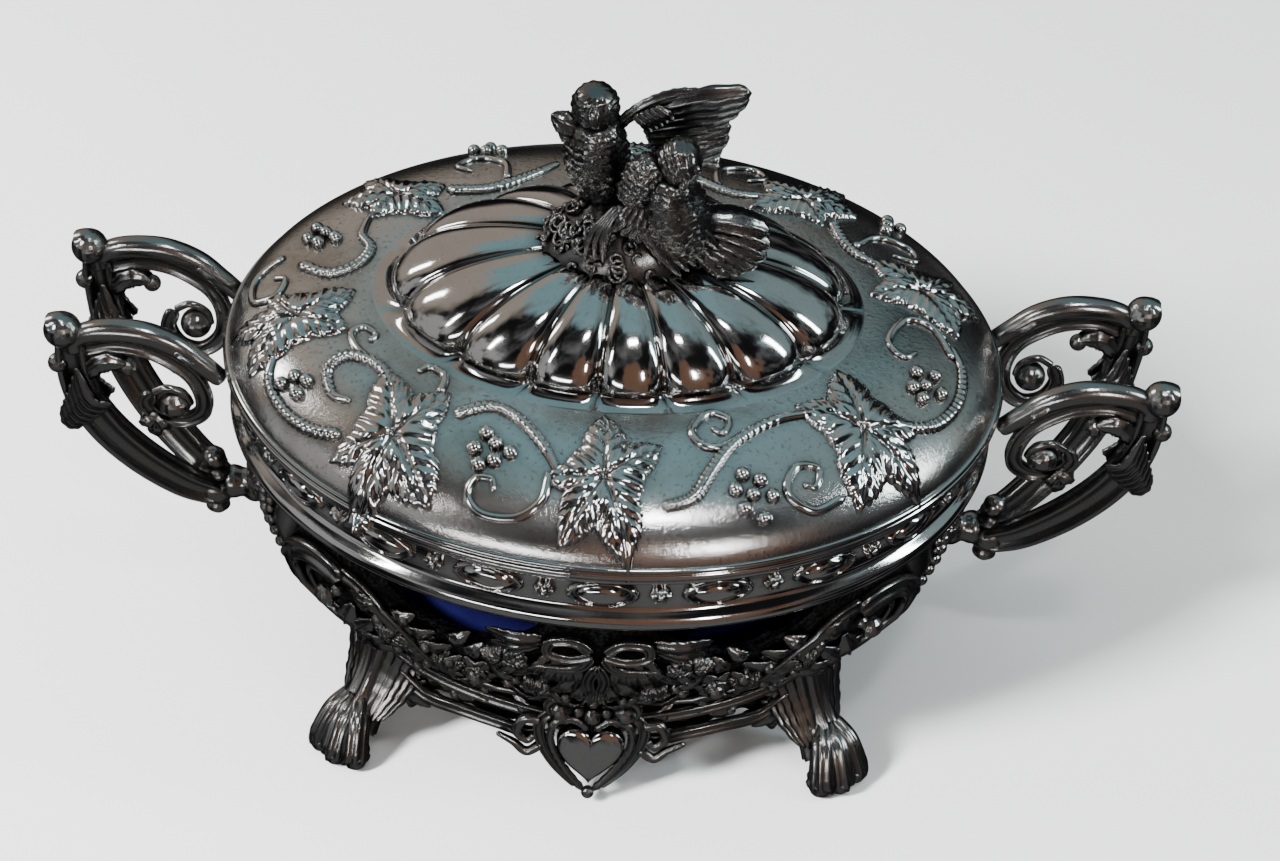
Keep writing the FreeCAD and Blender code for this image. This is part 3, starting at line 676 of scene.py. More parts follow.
boss = moved_grid("boss", 88, len(BOSS_PROFILE) - 1, boss_point)
flower = moved_grid("flower", 36, len(FLOWER_PROFILE) - 1, flower_point)
for pattern, kind, offset, stands_for in ((boss, "bosses", 0, "collar_cabochons"),
                                          (flower, "flowers", 0.5, "collar_rosettes")):
    row = []
    for number in range(BOSSES):
        way = BAND_WALK[-1] * (number + offset) / BOSSES
        row.append(laid(copied(pattern, f"{kind}_{number}"), on_band, (way, JOINT - BOSS_DROP)))
    bpy.data.objects.remove(pattern)
    finished(joined(f"collar_{kind}", row), "stand", "cast_silver", BURNISHED, stands_for)

# %% [markdown]
# ## The vine on the lid's border
# The vine was chased into the sheet from both sides: leaves pushed up from behind with their
# veins driven back in from the front, berries punched up as round bosses, and stems that a
# small punch crossed with ribs. Everything here is laid on the border's own form.

# %% Places on the border
def spot(angle, inset):
    """Flat coordinates at degrees round the oval and mm inside its edge."""
    return oval_point(math.radians(angle), inset * MM, 0).xy


# %% [markdown]
# A vine leaf has five lobes, each about a vein that runs out from the stalk. The grid runs
# round the leaf, and its outline takes, at each angle, the lobe that reaches furthest.

# %% One vine leaf
LEAF_LOBES = [(0, 1.0, 32), (-54, 0.95, 30), (-106, 0.76, 28), (160, 0.97, 30), (104, 0.86, 32)]


def leaf_height(turn, reach, lobe):
    """The leaf's relief at an angle from a lobe's vein, at a distance from the middle."""
    away = math.radians(turn) * reach
    vein = -0.5 * math.exp(-(away / 0.035) ** 2)
    side_veins = 0.27 * math.cos(2 * math.pi * (reach - 1.1 * abs(away)) * 5.5)
    pillow = 1.25 * math.sin(math.pi * min(1.0, reach / lobe) ** 0.7) ** 0.6
    return 0.35 + pillow + vein + side_veins * min(1.0, reach * 2)


def leaf_point(u, v):
    """Round the leaf with u, out from its middle to its sunk edge with v."""
    angle = 360 * u - 180
    turn, length, lobe = 180, 0.0, 1.0
    for direction, long, width in LEAF_LOBES:
        away = abs((angle - direction + 180) % 360 - 180)
        reach = long * (1 - 0.42 * (away / width) ** 1.05)
        if reach > length:
            turn, length, lobe = away, reach, long
    teeth = 0.07 * lobe * (1 - (turn * 0.155) % 1.0)
    length = max(0.52, length + teeth - 0.03)
    out = min(1.0, v / 0.93)
    height = leaf_height(turn, out * length, length)
    if v > 0.93:
        height = -0.5
    elif out > 0.9:
        height = max(height, 0.75)
    direction = math.radians(angle)
    return Vector((math.cos(direction) * length * out, math.sin(direction) * length * out, height))


leaf = moved_grid("leaf", 180, 16, leaf_point)

# %% Eight leaves round the border: angle, inset, where the tip points, size, mirrored
LEAVES = [(-127.5, 11, 300, 14.6, False), (-91, 13.2, 292, 13.8, False), (-42, 13.8, 268, 14.4, True),
          (-167, 13, 235, 12.4, False), (10, 15, 300, 12.2, True), (142, 17.5, 130, 11.2, True),
          (51, 17, 40, 11.4, False), (92, 15, 95, 11.4, False)]
leaves = []
for number, (angle, inset, tip, size, mirrored) in enumerate(LEAVES):
    flip = Matrix.Diagonal((size * MM, -size * MM if mirrored else size * MM, MM, 1))
    leaves.append(laid(copied(leaf, f"leaf_{number}", flip), on_border, spot(angle, inset), tip))
finished(joined("vine_leaves", leaves), "lid", "sheet_silver", CHASED)

# %% [markdown]
# The stem winds from leaf to leaf and the tendrils curl off it. Each is a half-round bar laid
# on the border; the stems carry the cross marks of the punch.

# %% Stems and tendrils
HALF_ROUND = [(math.cos(a * math.pi / 4), 0.75 * math.sin(a * math.pi / 4)) for a in range(8)]


def vine_bar(name, places, width, ribbed):
    """A stem or tendril through places on the border, thin at its far end."""
    line = [Vector(spot(angle, inset)) for angle, inset in places]
    line = curve_through(line, 20 if ribbed else 9)
    length = sum((b - a).length for a, b in zip(line, line[1:]))
    ribs = round(length / (1.15 * MM))

    def thickness(t):
        rib = 0.17 * math.cos(2 * math.pi * ribs * t) if ribbed and t < 0.8 else 0
        return width * MM * (1 - 0.45 * t ** 3) * (1 + rib)

    return laid_bar(name, on_border, line, HALF_ROUND, thickness, 0.25 * MM)


STEMS = [
    [(-121, 19), (-116, 23.5), (-109, 22.5), (-102, 17.5), (-98, 12)],
    [(-82, 8), (-77, 9.5), (-73, 14), (-67, 19), (-56, 22), (-45, 20)],
    [(-135, 18), (-143, 20.5), (-150, 18), (-149, 13.5), (-143, 11), (-139, 12)],
    [(-135, 6.5), (-141, 4.5), (-148, 4), (-155, 5), (-160, 8)],
    [(-35, 10), (-29, 7), (-21, 6.5), (-13, 8), (-7, 11)],
    [(174, 12.5), (178, 19), (173, 23.5), (165, 24), (160, 20.5), (152, 18)],
    [(132, 21), (123, 24), (112, 22), (104, 18)],
    [(81, 17), (73, 21), (65, 22.5), (58, 20)],
    [(41, 19), (33, 22), (25, 22), (18, 18)],
]
TENDRILS = [
    [(-100, 13), (-100, 8), (-103, 4.8), (-108, 4.2), (-111, 6), (-111, 9), (-108.5, 9.5), (-107.5, 7.5)],
    [(-145, 20.5), (-151, 20), (-157, 21), (-158, 23.5), (-154, 24.5), (-152, 22.5)],
    [(-67, 18.5), (-72.5, 19), (-74, 23), (-69, 26.5), (-65.5, 24.5), (-68, 21.5), (-70, 23)],
    [(-53, 5), (-59, 4.5), (-62, 8), (-58.5, 11.8), (-55, 10.5), (-57, 7.8), (-59, 8.6)],
    [(-11, 10), (-3, 14.5), (-2, 19.5), (-12, 22), (-16.5, 18.5), (-13, 16.5)],
    [(170, 9), (176, 5), (183, 5.5), (184, 9.5), (179, 11), (177.5, 8.5)],
    [(117, 22), (115, 16), (119, 12), (124, 13.5), (122.5, 17)],
    [(69, 22), (71, 15), (66, 11), (62, 13.5), (64.5, 17)],
    [(30, 22), (32, 15), (27, 10.5), (22, 12), (24.5, 16)],
    [(-127, 22), (-130, 26), (-135, 26.5), (-136, 24)],
]
bars = [vine_bar(f"stem_{i}", places, 1.15, True) for i, places in enumerate(STEMS)]
bars += [vine_bar(f"tendril_{i}", places, 0.8, False) for i, places in enumerate(TENDRILS)]
finished(joined("vine_stems", bars), "lid", "sheet_silver", CHASED)

# %% [markdown]
# The grapes hang in bunches of four to seven. They were punched up from behind and then
# burnished, so they are balls sunk into the sheet, in the brighter finish.

# %% Berries
BERRY_RADIUS = 1.35 * MM
BERRIES = [(-113, 17.5), (-110.5, 16), (-113.5, 14), (-109.5, 12.8), (-111.5, 11.4), (-107.5, 15),
           (-68, 12.5), (-65.5, 11), (-70, 10), (-67.5, 8.8), (-69.5, 6.8), (-67, 5), (-64.5, 8),
           (-149, 9.5), (-151.5, 8.5), (-148, 7), (-152, 6.2),
           (-20, 15), (-22.5, 12.5), (-18.5, 12), (-26, 11.5), (-22, 9.5), (-24.5, 14),
           (162, 14), (163.5, 16.5), (166, 14), (164.5, 11.5), (160.5, 11.5),
           (116, 9), (113.5, 10.5), (117.5, 6.8), (114.5, 7), (76, 9), (73.5, 10.5), (78, 7), (75, 6.8),
           (36, 9), (34, 11), (38, 7), (35, 6.6)]
berries = []
for number, (angle, inset) in enumerate(BERRIES):
    x, y = spot(angle, inset)
    centre, normal = surface_frame(on_border, x, y)
    bpy.ops.mesh.primitive_uv_sphere_add(segments=18, ring_count=12, radius=BERRY_RADIUS,
                                         location=centre + normal * 0.35 * MM)
    berries.append(placed(bpy.context.object))
finished(tidied(joined("vine_berries", berries)), "lid", "sheet_silver", BURNISHED)

# %% [markdown]
# ## The two birds
# The knob was cast in several pieces and then chased: two birds on a mound of flowers, one
# upright with a wing spread behind, one leaning over with its tail fanned to the right. The
# bodies are plump bars covered with rows of overlapping feathers; wings and tails are fans
# of long single feathers, each a thin blade with a raised quill.

# %% Feathered bodies and single feathers
def feathered(name, points, rows, tiles, relief=0.16, columns=56, steps=12):
    """A plump body along a line of x, y, z and radius in mm, covered with rows of feathers."""
    line = curve_through(points, steps)
    last = len(line) - 1
    centres = [point.xyz * MM for point in line]

    def place(u, v):
        k = round(v * last)
        ahead = (centres[min(k + 1, last)] - centres[max(k - 1, 0)]).normalized()
        side = ahead.cross(Vector((0.2, 1, 0.1))).normalized()
        row = v * rows
        across = abs(2 * ((u * tiles + 0.5 * (int(row) % 2)) % 1.0) - 1)
        feather = (row % 1.0) * (1 - across ** 2) + 0.25 * math.cos(6 * math.pi * across)
        radius = line[k].w * MM * blunt(v, 0.12) * (1 + relief * feather)
        angle = 2 * math.pi * u
        return centres[k] + (side * math.cos(angle) + side.cross(ahead) * math.sin(angle)) * radius

    return moved_grid(name, columns, last, place)


QUILL = [(1, 0), (0.6, 0.12), (0.16, 0.16), (0, 0.34), (-0.16, 0.16), (-0.6, 0.12), (-1, 0),
         (-0.5, -0.14), (0, -0.2), (0.5, -0.14)]


def blade(name, points, width, up, point=0.35, barbs=9, tip=0.38):
    """A feather or a long leaf through points in mm; tip is the share over which it narrows."""
    line = [p * MM for p in curve_through(points, 10)]

    def thickness(t):
        shape = (point + (1 - point) * math.sin(math.pi * min(1.0, t * 0.62 + 0.12)))
        narrowing = min(1.0, (1 - t) / tip + 0.04) ** 0.55
        return width * MM * shape * narrowing * (1 + 0.08 * math.cos(2 * math.pi * barbs * t))

    return swept(name, line, QUILL, thickness, up)


def feather(name, start, end, bow, width, up, point, barbs, tip=0.38, bend=0.5):
    """A blade from one place to another, bowed at a share of its length."""
    start, end = Vector(start), Vector(end)
    return blade(name, [start, start.lerp(end, bend) + Vector(bow), end], width, up, point, barbs, tip)


def ball(name, centre, radius, segments=20):
    """A ball at a place in mm."""
    bpy.ops.mesh.primitive_uv_sphere_add(segments=segments, ring_count=segments // 2,
                                         radius=radius * MM, location=Vector(centre) * MM)
    piece = placed(bpy.context.object)
    piece.name = name
    return piece


# %% [markdown]
# The bird at the back stands upright, with one wing half folded and the other raised in
# long feathers over its mate.

# %% The bird at the back
back_bird = [
    feathered("back_body", [(-3.5, 4.5, 103, 3.4), (-4.6, 4, 108, 4.7), (-5.6, 3.5, 113, 5.5),
                            (-6.2, 3.2, 118, 4.9), (-6.4, 3, 122, 3.3)], 15, 15, 0.13),
    feathered("back_head", [(-6.4, 3.6, 120.6, 2.6), (-6.4, 3.2, 123, 4.0), (-6.5, 2.8, 125.6, 3.8),
                            (-6.6, 2.4, 128.0, 2.2)], 9, 11, 0.1),
    blade("back_beak", [(-6.5, -0.4, 126.2), (-6.6, -1.6, 125.2), (-6.8, -2.4, 123.4)], 1.1, (0, -1, 0.4)),
    ball("back_eye_left", (-8.6, -0.3, 125.8), 0.7, 12),
    ball("back_eye_right", (-4.4, -0.3, 125.8), 0.7, 12),
]
for number in range(4):
    drop = 1.7 * number
    places = [(-7, 1.8 - number * 0.2, 119 - drop * 0.8), (-11 + number * 0.6, 1.4, 121 - drop),
              (-14 + number * 1.2, 2.2, 122.4 - drop * 1.5)]
    back_bird.append(blade(f"back_left_wing_{number}", places, 2.2, (0, -1, 0.5)))
TIPS = [(20.2, 4.8, 127.6), (20, 5.2, 125.9), (18.8, 5.5, 124), (17.2, 5.6, 122), (17.4, 5.6, 119.8),
        (17.3, 5.4, 117.6), (16.4, 5.2, 115.6), (14.4, 5, 114.2)]
for number, tip in enumerate(TIPS):
    start = (0.5 + number * 0.5, 4.6, 121.5 - number * 1.1)
    bow = (0, -0.8 - 0.1 * number, 1.1 - number * 0.16)
    back_bird.append(feather(f"back_wing_{number}", start, tip, bow, 2.3, (0.1, -1, 0.35), 0.55, 3, 0.12))
for number in range(5):
    start = Vector((0.2 + number * 0.9, 3.4, 122.4 + 0.5 * number))
    end = start + Vector((3.4, 0.1, -3.6 + number * 0.2))
    back_bird.append(feather(f"back_covert_{number}", start, end, (0.4, -0.5, 0.3), 0.9, (0, -1, 0.4),
                             0.6, 4))
WING_EDGE = [(-3, 4, 119), (1.5, 4, 123.6), (7, 4.4, 126.3), (13, 4.6, 126.8), (19.5, 4.8, 127.8)]
back_bird.append(blade("back_wing_edge", WING_EDGE, 1.25, (0, -1, 0.4), 0.8, 14))
finished(joined("bird_upright", back_bird), "lid", "cast_silver", FINIAL, "bird_back")

# %% [markdown]
# The bird at the front leans down over the flowers, with a ruff at its neck, folded wings
# and a tail fanned out to the right.

# %% The bird at the front
front_bird = [
    feathered("front_body", [(11.5, -3.6, 99, 4.2), (10, -4, 103, 5.8), (8, -4.4, 108, 6.2),
                             (6.8, -4.5, 113, 5.2), (7.6, -4.4, 117, 4.0)], 17, 17, 0.13),
    feathered("front_head", [(5.4, -4.4, 116.6, 2.4), (7.4, -4.4, 118, 4.0), (9.8, -4.5, 119.3, 4.1),
                             (12.2, -4.6, 120, 2.2)], 9, 11, 0.1),
    feathered("front_ruff", [(5.4, -5, 119, 2.4), (3, -5.6, 116.6, 3.2), (1.4, -6.2, 113.4, 3.0),
                             (0.6, -6.6, 110.6, 1.8)], 11, 12, 0.22),
    blade("front_beak", [(9.6, -8, 118.2), (9.4, -9, 117.2), (8.6, -9.4, 116)], 0.9, (0, -1, 0.4)),
    ball("front_eye", (11.3, -7.6, 119.8), 0.7, 12),
]
for number in range(7):
    start = Vector((1.6 + number * 0.9, -7.4, 112.6 - number * 0.3))
    end = Vector((-2.2 + number * 1.5, -9.4 - 0.12 * number, 106.6 - number * 0.62))
    front_bird.append(feather(f"front_scapular_{number}", start, end, (0, -1, 0), 1.15, (0, -1, 0.3), 0.6, 6))
for number in range(6):
    start = Vector((-1.6 + number * 1.7, -7.8 + 0.2 * number, 111.4))
    end = Vector((10.4 + number * 1.3, -10.4 + number * 0.6, 98.4 + number * 0.8))
    front_bird.append(feather(f"front_wing_{number}", start, end, (0.4, -0.9, 0.4), 1.25, (0.2, -1, 0.3),
                              0.7, 10))
for number in range(3):
    start = Vector((-1.4 + number * 0.5, -7.6, 111))
    end = Vector((-6.6 + number * 1.6, -9 - number * 0.3, 99.4))
    front_bird.append(feather(f"front_left_wing_{number}", start, end, (-1.4, -0.4, 0.6), 0.9,
                              (0.2, -1, 0.2), 0.8, 8))
TAIL_TIPS = [(25.6, -3.6, 104.2), (26, -4.6, 102), (25.4, -5.6, 100.2), (23.8, -6.6, 98.8),
             (21.6, -7.4, 98), (19.2, -8, 97.8)]
for number, tip in enumerate(TAIL_TIPS):
    start = Vector((11.6 - 0.2 * number, -4.4 - 0.4 * number, 106.4 - 0.7 * number))
    front_bird.append(feather(f"front_tail_{number}", start, tip, (0, -0.5, 1.1), 2.3, (0.1, -1, 0.8),
                              0.5, 7, 0.16, 0.55))
finished(joined("bird_leaning", front_bird), "lid", "cast_silver", FINIAL, "bird_front")

# %% [markdown]
# The birds stand on a mound of small flowers, cast so finely that only rings, beads and
# curls can be told apart. They are strewn from a fixed seed, so they fall the same each time.

# %% The mound of flowers
MOUND_LONG = 15.6 * MM
MOUND_WIDE = 10.8 * MM
MOUND_RISE = 10.4 * MM
MOUND_SUNK = 2.2 * MM
STREWN = 150
CURL = [(0.9 * MM * math.cos(a / 2) * (0.4 + a / 9), 0.9 * MM * math.sin(a / 2) * (0.4 + a / 9), 0)
        for a in range(10)]


def on_mound(x, y):
    """The mound's surface over a place in plan."""
    share = min(1.0, math.hypot(x / MOUND_LONG, y / MOUND_WIDE))
    lumps = noise.noise(Vector((x, y, 0)) / (3.2 * MM)) * 0.9 * MM
    rise = MOUND_RISE * (1 - share ** 2.4) ** 0.7
    return Vector((x, y, CROWN - MOUND_SUNK + rise + lumps * (1 - share ** 4)))


def mound_point(u, v):
    angle = 2 * math.pi * u
    return on_mound(MOUND_LONG * v * math.cos(angle), MOUND_WIDE * v * math.sin(angle))


chance = random.Random(11)
strewn = [moved_grid("mound", 96, 24, mound_point)]
for number in range(STREWN):
    angle, share = chance.uniform(0, 2 * math.pi), chance.uniform(0.25, 1) ** 0.5
    x, y = 14.9 * MM * share * math.cos(angle), 10.2 * MM * share * math.sin(angle)
    foot, normal = surface_frame(on_mound, x, y)
    lean = normal.lerp(Vector((chance.uniform(-1, 1), chance.uniform(-1, 1), 0.6)), 0.2)
    turn = lean.to_track_quat("Z", "Y").to_euler()
    seat = foot + normal * 0.5 * MM
    if number % 3 == 2:
        spin = turn.to_matrix()
        line = [seat + spin @ Vector(point) for point in CURL]
        strewn.append(swept("curl", line, HALF_ROUND, lambda t: 0.34 * MM, tuple(lean)))
        continue
    if number % 3 == 0:
        bpy.ops.mesh.primitive_torus_add(major_segments=16, minor_segments=6, location=seat,
                                         rotation=turn, major_radius=chance.uniform(0.9, 1.5) * MM,
                                         minor_radius=0.36 * MM)
    else:
        bpy.ops.mesh.primitive_uv_sphere_add(segments=10, ring_count=6, location=seat,
                                             radius=chance.uniform(0.5, 0.95) * MM)
    strewn.append(placed(bpy.context.object))
mound = joined("flower_mound", strewn)
bpy.ops.object.shade_smooth()
finished(mound, "lid", "cast_silver", FINIAL, "finial_mound")

# %% [markdown]
# ## The handles
# Each handle is two cast scrolls that spring from one knot and curl back to the collar. A
# scroll is a channelled strap with raised edges, wrapped at its bend by an acanthus leaf. It
# ends in a ball, and an arch returns from it to the rim and curls down into a volute. One
# arm is made at the right front, and the other three are its mirror images.

# %% Places on a handle
knot_low, knot_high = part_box("handle_right_knot")
KNOT_UP = (knot_low.z + knot_high.z) / 2 / MM
KNOT_OUT = LONG / MM + 5
SPREAD = 12
FORK = 3.1


def arm_place(out, up, forward=0.0):
    """A point of the arm in mm: out from the knot, up, and forward of the arm's own plane."""
    lean = min(1.0, max(0.0, up / 34)) ** 0.8
    return Vector((KNOT_OUT + out, -(FORK + (SPREAD - FORK) * lean) - forward, KNOT_UP + up))


def arm_bar(name, places, section, thickness, steps=10):
    """A bar of the arm that follows places out from the knot and up."""
    line = [point * MM for point in curve_through([arm_place(*place) for place in places], steps)]
    return swept(name, line, section, thickness, (0, -1, 0))


# %% Straps, arch and volute
CHANNEL = [(-1, 0.4), (-0.82, 0.52), (-0.6, 0.42), (-0.5, 0.12), (0, 0.08), (0.5, 0.12), (0.6, 0.42),
           (0.82, 0.52), (1, 0.4), (1, -0.4), (0.82, -0.52), (0.6, -0.42), (0.5, -0.12), (0, -0.08),
           (-0.5, -0.12), (-0.6, -0.42), (-0.82, -0.52), (-1, -0.4)]
STEM = [(-1, -0.6), (1, 0.6), (5.5, 4.2), (11.5, 11.5), (16.5, 20), (19.6, 28.5), (21, 36), (21.4, 43),
        (21.2, 46)]
ARCH = [(21.4, 44.5), (18.5, 47), (14, 48.1), (8, 47.9), (2.5, 45.6), (-1.5, 42), (-6, 37.5)]
VOLUTE = [(20, 43), (14, 44.9), (8, 44.2), (3.2, 41.6), (-0.4, 38), (-1.9, 33), (-1.0, 28.2), (2.6, 25.4),
          (6.8, 26.4), (8.9, 30), (7.6, 33.4)]
BALL_NECK = [(20.6, 43), (21, 46.4), (22.4, 48.6), (24, 48)]
arm = [
    arm_bar("stem", STEM, CHANNEL, lambda t: (2.3 + 1.2 * math.sin(math.pi * t ** 0.8)) * MM),
    arm_bar("arch", ARCH, ROUND, lambda t: (1.75 + 0.55 * math.sin(math.pi * t)) * MM),
    arm_bar("volute", VOLUTE, CHANNEL, lambda t: (1.75 - 0.3 * t) * MM),
    ball("eye", arm_place(3.6, 30.9), 3.0, 24),
    arm_bar("eye_curl", [(7.6, 33.4), (4.6, 34.9), (1.6, 33.4), (0.7, 30.6)], ROUND, lambda t: 0.75 * MM),
    arm_bar("ball_neck", BALL_NECK, ROUND, lambda t: (1.9 + 0.9 * t) * MM),
    ball("ball_end", arm_place(22.35, 47.6), 3.4, 28),
    ball("strap_nub", arm_place(24, 39.6), 1.9, 18),
]
bpy.ops.mesh.primitive_torus_add(major_segments=28, minor_segments=8, major_radius=2.35 * MM,
                                 minor_radius=0.6 * MM, location=arm_place(0.6, 44.2) * MM,
                                 rotation=(0, math.radians(-42), 0))
arm.append(placed(bpy.context.object))

# %% [markdown]
# An acanthus leaf wraps the bend of the arm on both faces, with three small drops under the
# volute. The one arm is then mirrored to make all four.

# %% Leaves on the arm
for face in (1, -1):
    for number in range(6):
        low = (15.2 + 1.15 * number, 30.5 - 1.9 * number + 0.15 * number ** 2, face * 2.0)
        middle = (18.6 + 0.9 * number, 33 - 1.5 * number, face * 2.9)
        high = (20.6 + 0.75 * number, 40.2 - 2.1 * number, face * 1.6)
        arm.append(blade(f"wrap_{face}_{number}", [arm_place(*low), arm_place(*middle), arm_place(*high)],
                         1.5, (0, -face, 0), 0.6, 5))
    places = [arm_place(19.5, 37.5, face), arm_place(15.5, 41.6, face * 1.6), arm_place(11.2, 40.8, face)]
    arm.append(blade(f"inner_leaf_{face}", places, 2.1, (0, -face, 0.3), 0.5, 5))
    for tip in ((11, 23.6), (8.2, 19.8), (5.2, 22.8)):
        middle = arm_place((7.8 + tip[0]) / 2, (27 + tip[1]) / 2, face * 1.6)
        places = [arm_place(7.8, 27, face * 0.6), middle, arm_place(*tip, face * 0.4)]
        arm.append(blade(f"drop_{face}_{tip[0]}", places, 1.4, (0, -face, 0), 0.4, 4))
arm.append(ball("inner_berry", arm_place(11.4, 39.6), 1.7, 16))
arm.append(ball("drop_berry", arm_place(8, 26.4), 1.4, 14))
arm = joined("arm_right_front", arm)
MIRROR_X = Matrix.Diagonal((-1, 1, 1, 1))
MIRROR_Y = Matrix.Diagonal((1, -1, 1, 1))
arms = {"right_front": arm, "left_front": copied(arm, "arm_left_front", MIRROR_X),
        "right_back": copied(arm, "arm_right_back", MIRROR_Y)}
arms["left_back"] = copied(arms["right_back"], "arm_left_back", MIRROR_X)
for side, piece in arms.items():
    finished(piece, "stand", "cast_silver", CAST, f"handle_{side}_arm")

# %% [markdown]
# The knot is a little baluster of stacked balls and rings. Its bracket is soldered to the
# basket's end.

# %% Knots
BALUSTER = [(0, 8.6), (1.3, 8.3), (2.2, 7.2), (2.4, 5.9), (1.9, 4.6), (1.5, 4.0), (2.9, 3.5),
            (3.3, 2.8), (2.9, 2.2), (2.2, 1.9), (3.6, 1.2), (4.3, -0.4), (4.2, -2.2), (3.1, -3.8),
            (1.6, -4.4), (1.5, -5.0), (2.3, -5.6), (2.4, -6.8), (1.5, -7.9), (0, -8.2)]


def knot_point(u, v):
    radius, up = BALUSTER[round(v * (len(BALUSTER) - 1))]
    angle = 2 * math.pi * u
    return Vector((KNOT_OUT + radius * math.cos(angle), radius * math.sin(angle), KNOT_UP + up)) * MM


def bracket_thickness(t):
    return (2.4 + 0.9 * abs(math.sin(3 * math.pi * t)) + 1.2 * t) * MM


baluster = moved_grid("baluster", 36, len(BALUSTER) - 1, knot_point)
bracket_line = [Vector((KNOT_OUT - 1 - 0.8 * step, 0, KNOT_UP - 0.02 * step)) * MM for step in range(18)]
bracket = swept("bracket", bracket_line, ROUND, bracket_thickness, (0, 0, 1))
knot = joined("knot_right", [baluster, bracket])
knots = {"right": knot, "left": copied(knot, "knot_left", MIRROR_X)}
for side, piece in knots.items():
    finished(piece, "stand", "cast_silver", CAST, f"handle_{side}_knot")

# %% [markdown]
# ## The basket's ornament
# The basket was cast in pierced panels: large C-scrolls at its corners, straps that fall from
# them to the middle, and between them flowers, leaves and ribbons. The panels themselves stay
# as they are in the CAD model. Their relief is laid over them here, for the right half of the
# front, and then mirrored to the other three quarters.

# %% The basket's surface
BELLY_WALK = walk_of(5 * MM)
BELLY = [(0, 15.2), (25, 15), (30, 10), (38, 6), (47, 4), (58, 4.5)]


def on_basket(way, height):
    """The basket's outside at a length from its front centre and a height over the table."""
    level = height / MM
    for (low, below), (high, above) in zip(BELLY, BELLY[1:]):
        if level <= high:
            break
    share = min(1.0, max(0.0, (level - low) / (high - low)))
    inset = below + (above - below) * share
    return oval_point(angle_at(BELLY_WALK, way), inset * MM, height)


def basket_bar(name, places, width, section, lift, taper, steps=9):
    """A strap or stem over the basket, through lengths and heights in mm."""
    line = [point * MM for point in curve_through(places, steps)]

    def thickness(t):
        return width * MM * (1 - taper * t ** 2)

    return laid_bar(name, on_basket, line, section, thickness, lift * MM)


def basket_leaf(name, start, end, width, bow, barbs=5):
    """A pointed leaf that stands off the basket, from its root to its tip."""
    points = []
    for share, out in ((0, 0.2), (0.5, bow * 0.75), (1, 0.4)):
        way = start[0] + (end[0] - start[0]) * share
        level = start[1] + (end[1] - start[1]) * share
        foot, normal = surface_frame(on_basket, way * MM, level * MM)
        points.append((foot + normal * out * MM) / MM)
    return blade(name, points, width * 1.25, tuple(normal), 0.45, barbs, 0.55)


def basket_ball(name, way, level, radius, out=0.6):
    foot, normal = surface_frame(on_basket, way * MM, level * MM)
    return ball(name, (foot + normal * out * MM) / MM, radius, 14)


def rose(name, way, level, radius):
    """A little open rose: two rings of petals about a bud."""
    pieces = [basket_ball(f"{name}_bud", way, level, radius * 0.42, 1.5)]
    for ring, (reach, count, out) in enumerate(((1.0, 6, 1.0), (0.62, 5, 1.9))):
        for petal in range(count):
            angle = 2 * math.pi * (petal + 0.5 * ring) / count
            tip = (way + radius * reach * math.cos(angle), level + radius * reach * math.sin(angle))
            pieces.append(basket_leaf(f"{name}_{ring}_{petal}", (way, level), tip, radius * 0.42, out, 2))
    return pieces


# %% [markdown]
# The straps are broad bands with raised edges. The largest curls into a scroll at the corner
# over each foot, and the others fall from it to the middle or run along the base as rails.

# %% Scrolls, straps and rails of the right front quarter
STRAP = [(-1, 0), (-0.95, 0.55), (-0.7, 0.7), (-0.5, 0.35), (0, 0.22), (0.5, 0.35), (0.7, 0.7), (0.95, 0.55),
         (1, 0), (0.6, -0.5), (-0.6, -0.5)]
CORNER_SCROLL = spiral((54, 40.5), (10.5, 8), (125, -150))
CORNER_INNER = spiral((53.5, 40.5), (6.4, 5.2), (115, -130), 16)
FALL = [(49, 51), (43.5, 49.5), (38.5, 45), (34, 39.5), (29, 33.5), (22, 30.5), (13, 28), (6, 25.5)]
CORNER_TIE = [(50, 35), (44, 33), (37, 28), (30, 25.5)]
RAIL = [(54, 14), (46, 18), (38, 15), (29, 15.2), (20, 14.6), (14, 13.6), (10, 15)]
RAIL_TOP = [(52, 26), (44, 23), (34, 21.5), (22, 20.5), (12, 19.5), (4, 18.5)]
END_FALL = [(90, 52), (92, 44), (88, 36), (80, 31), (72, 27)]
quarter = [
    basket_bar("corner_scroll", CORNER_SCROLL, 2.3, STRAP, 0.9, 0.4, 3),
    basket_bar("corner_inner", CORNER_INNER, 0.8, HALF_ROUND, 0.6, 0.4, 3),
    basket_bar("fall", FALL, 1.5, STRAP, 0.7, 0.25),
    basket_bar("corner_tie", CORNER_TIE, 1.5, STRAP, 0.6, 0.2),
    basket_bar("rail", RAIL, 1.5, STRAP, 1.6, 0.1),
    basket_bar("rail_top", RAIL_TOP, 1.4, STRAP, 1.2, 0.1),
    basket_bar("end_scroll", spiral((82, 45), (9, 5), (150, 420), 26), 1.3, STRAP, 0.6, 0.5, 3),
    basket_bar("end_fall", END_FALL, 1.2, STRAP, 0.6, 0.3),
]
print("straps and scrolls in a quarter:", len(quarter))

# %% [markdown]
# Round the corner, two rows of beads fall beside a plain curved field, and small leaves fan
# out from the scroll.

# %% Beads, field and corner leaves
for number in range(14):
    way, level = 72 + 1.8 * math.sin(number / 2) - 0.3 * number, 56 - 2.1 * number
    quarter.append(basket_ball(f"edge_bead_{number}", way, level, 1.4 - 0.02 * number, 0.8))
    quarter.append(basket_ball(f"inner_bead_{number}", way - 2.4, level - 0.9, 0.9, 0.7))


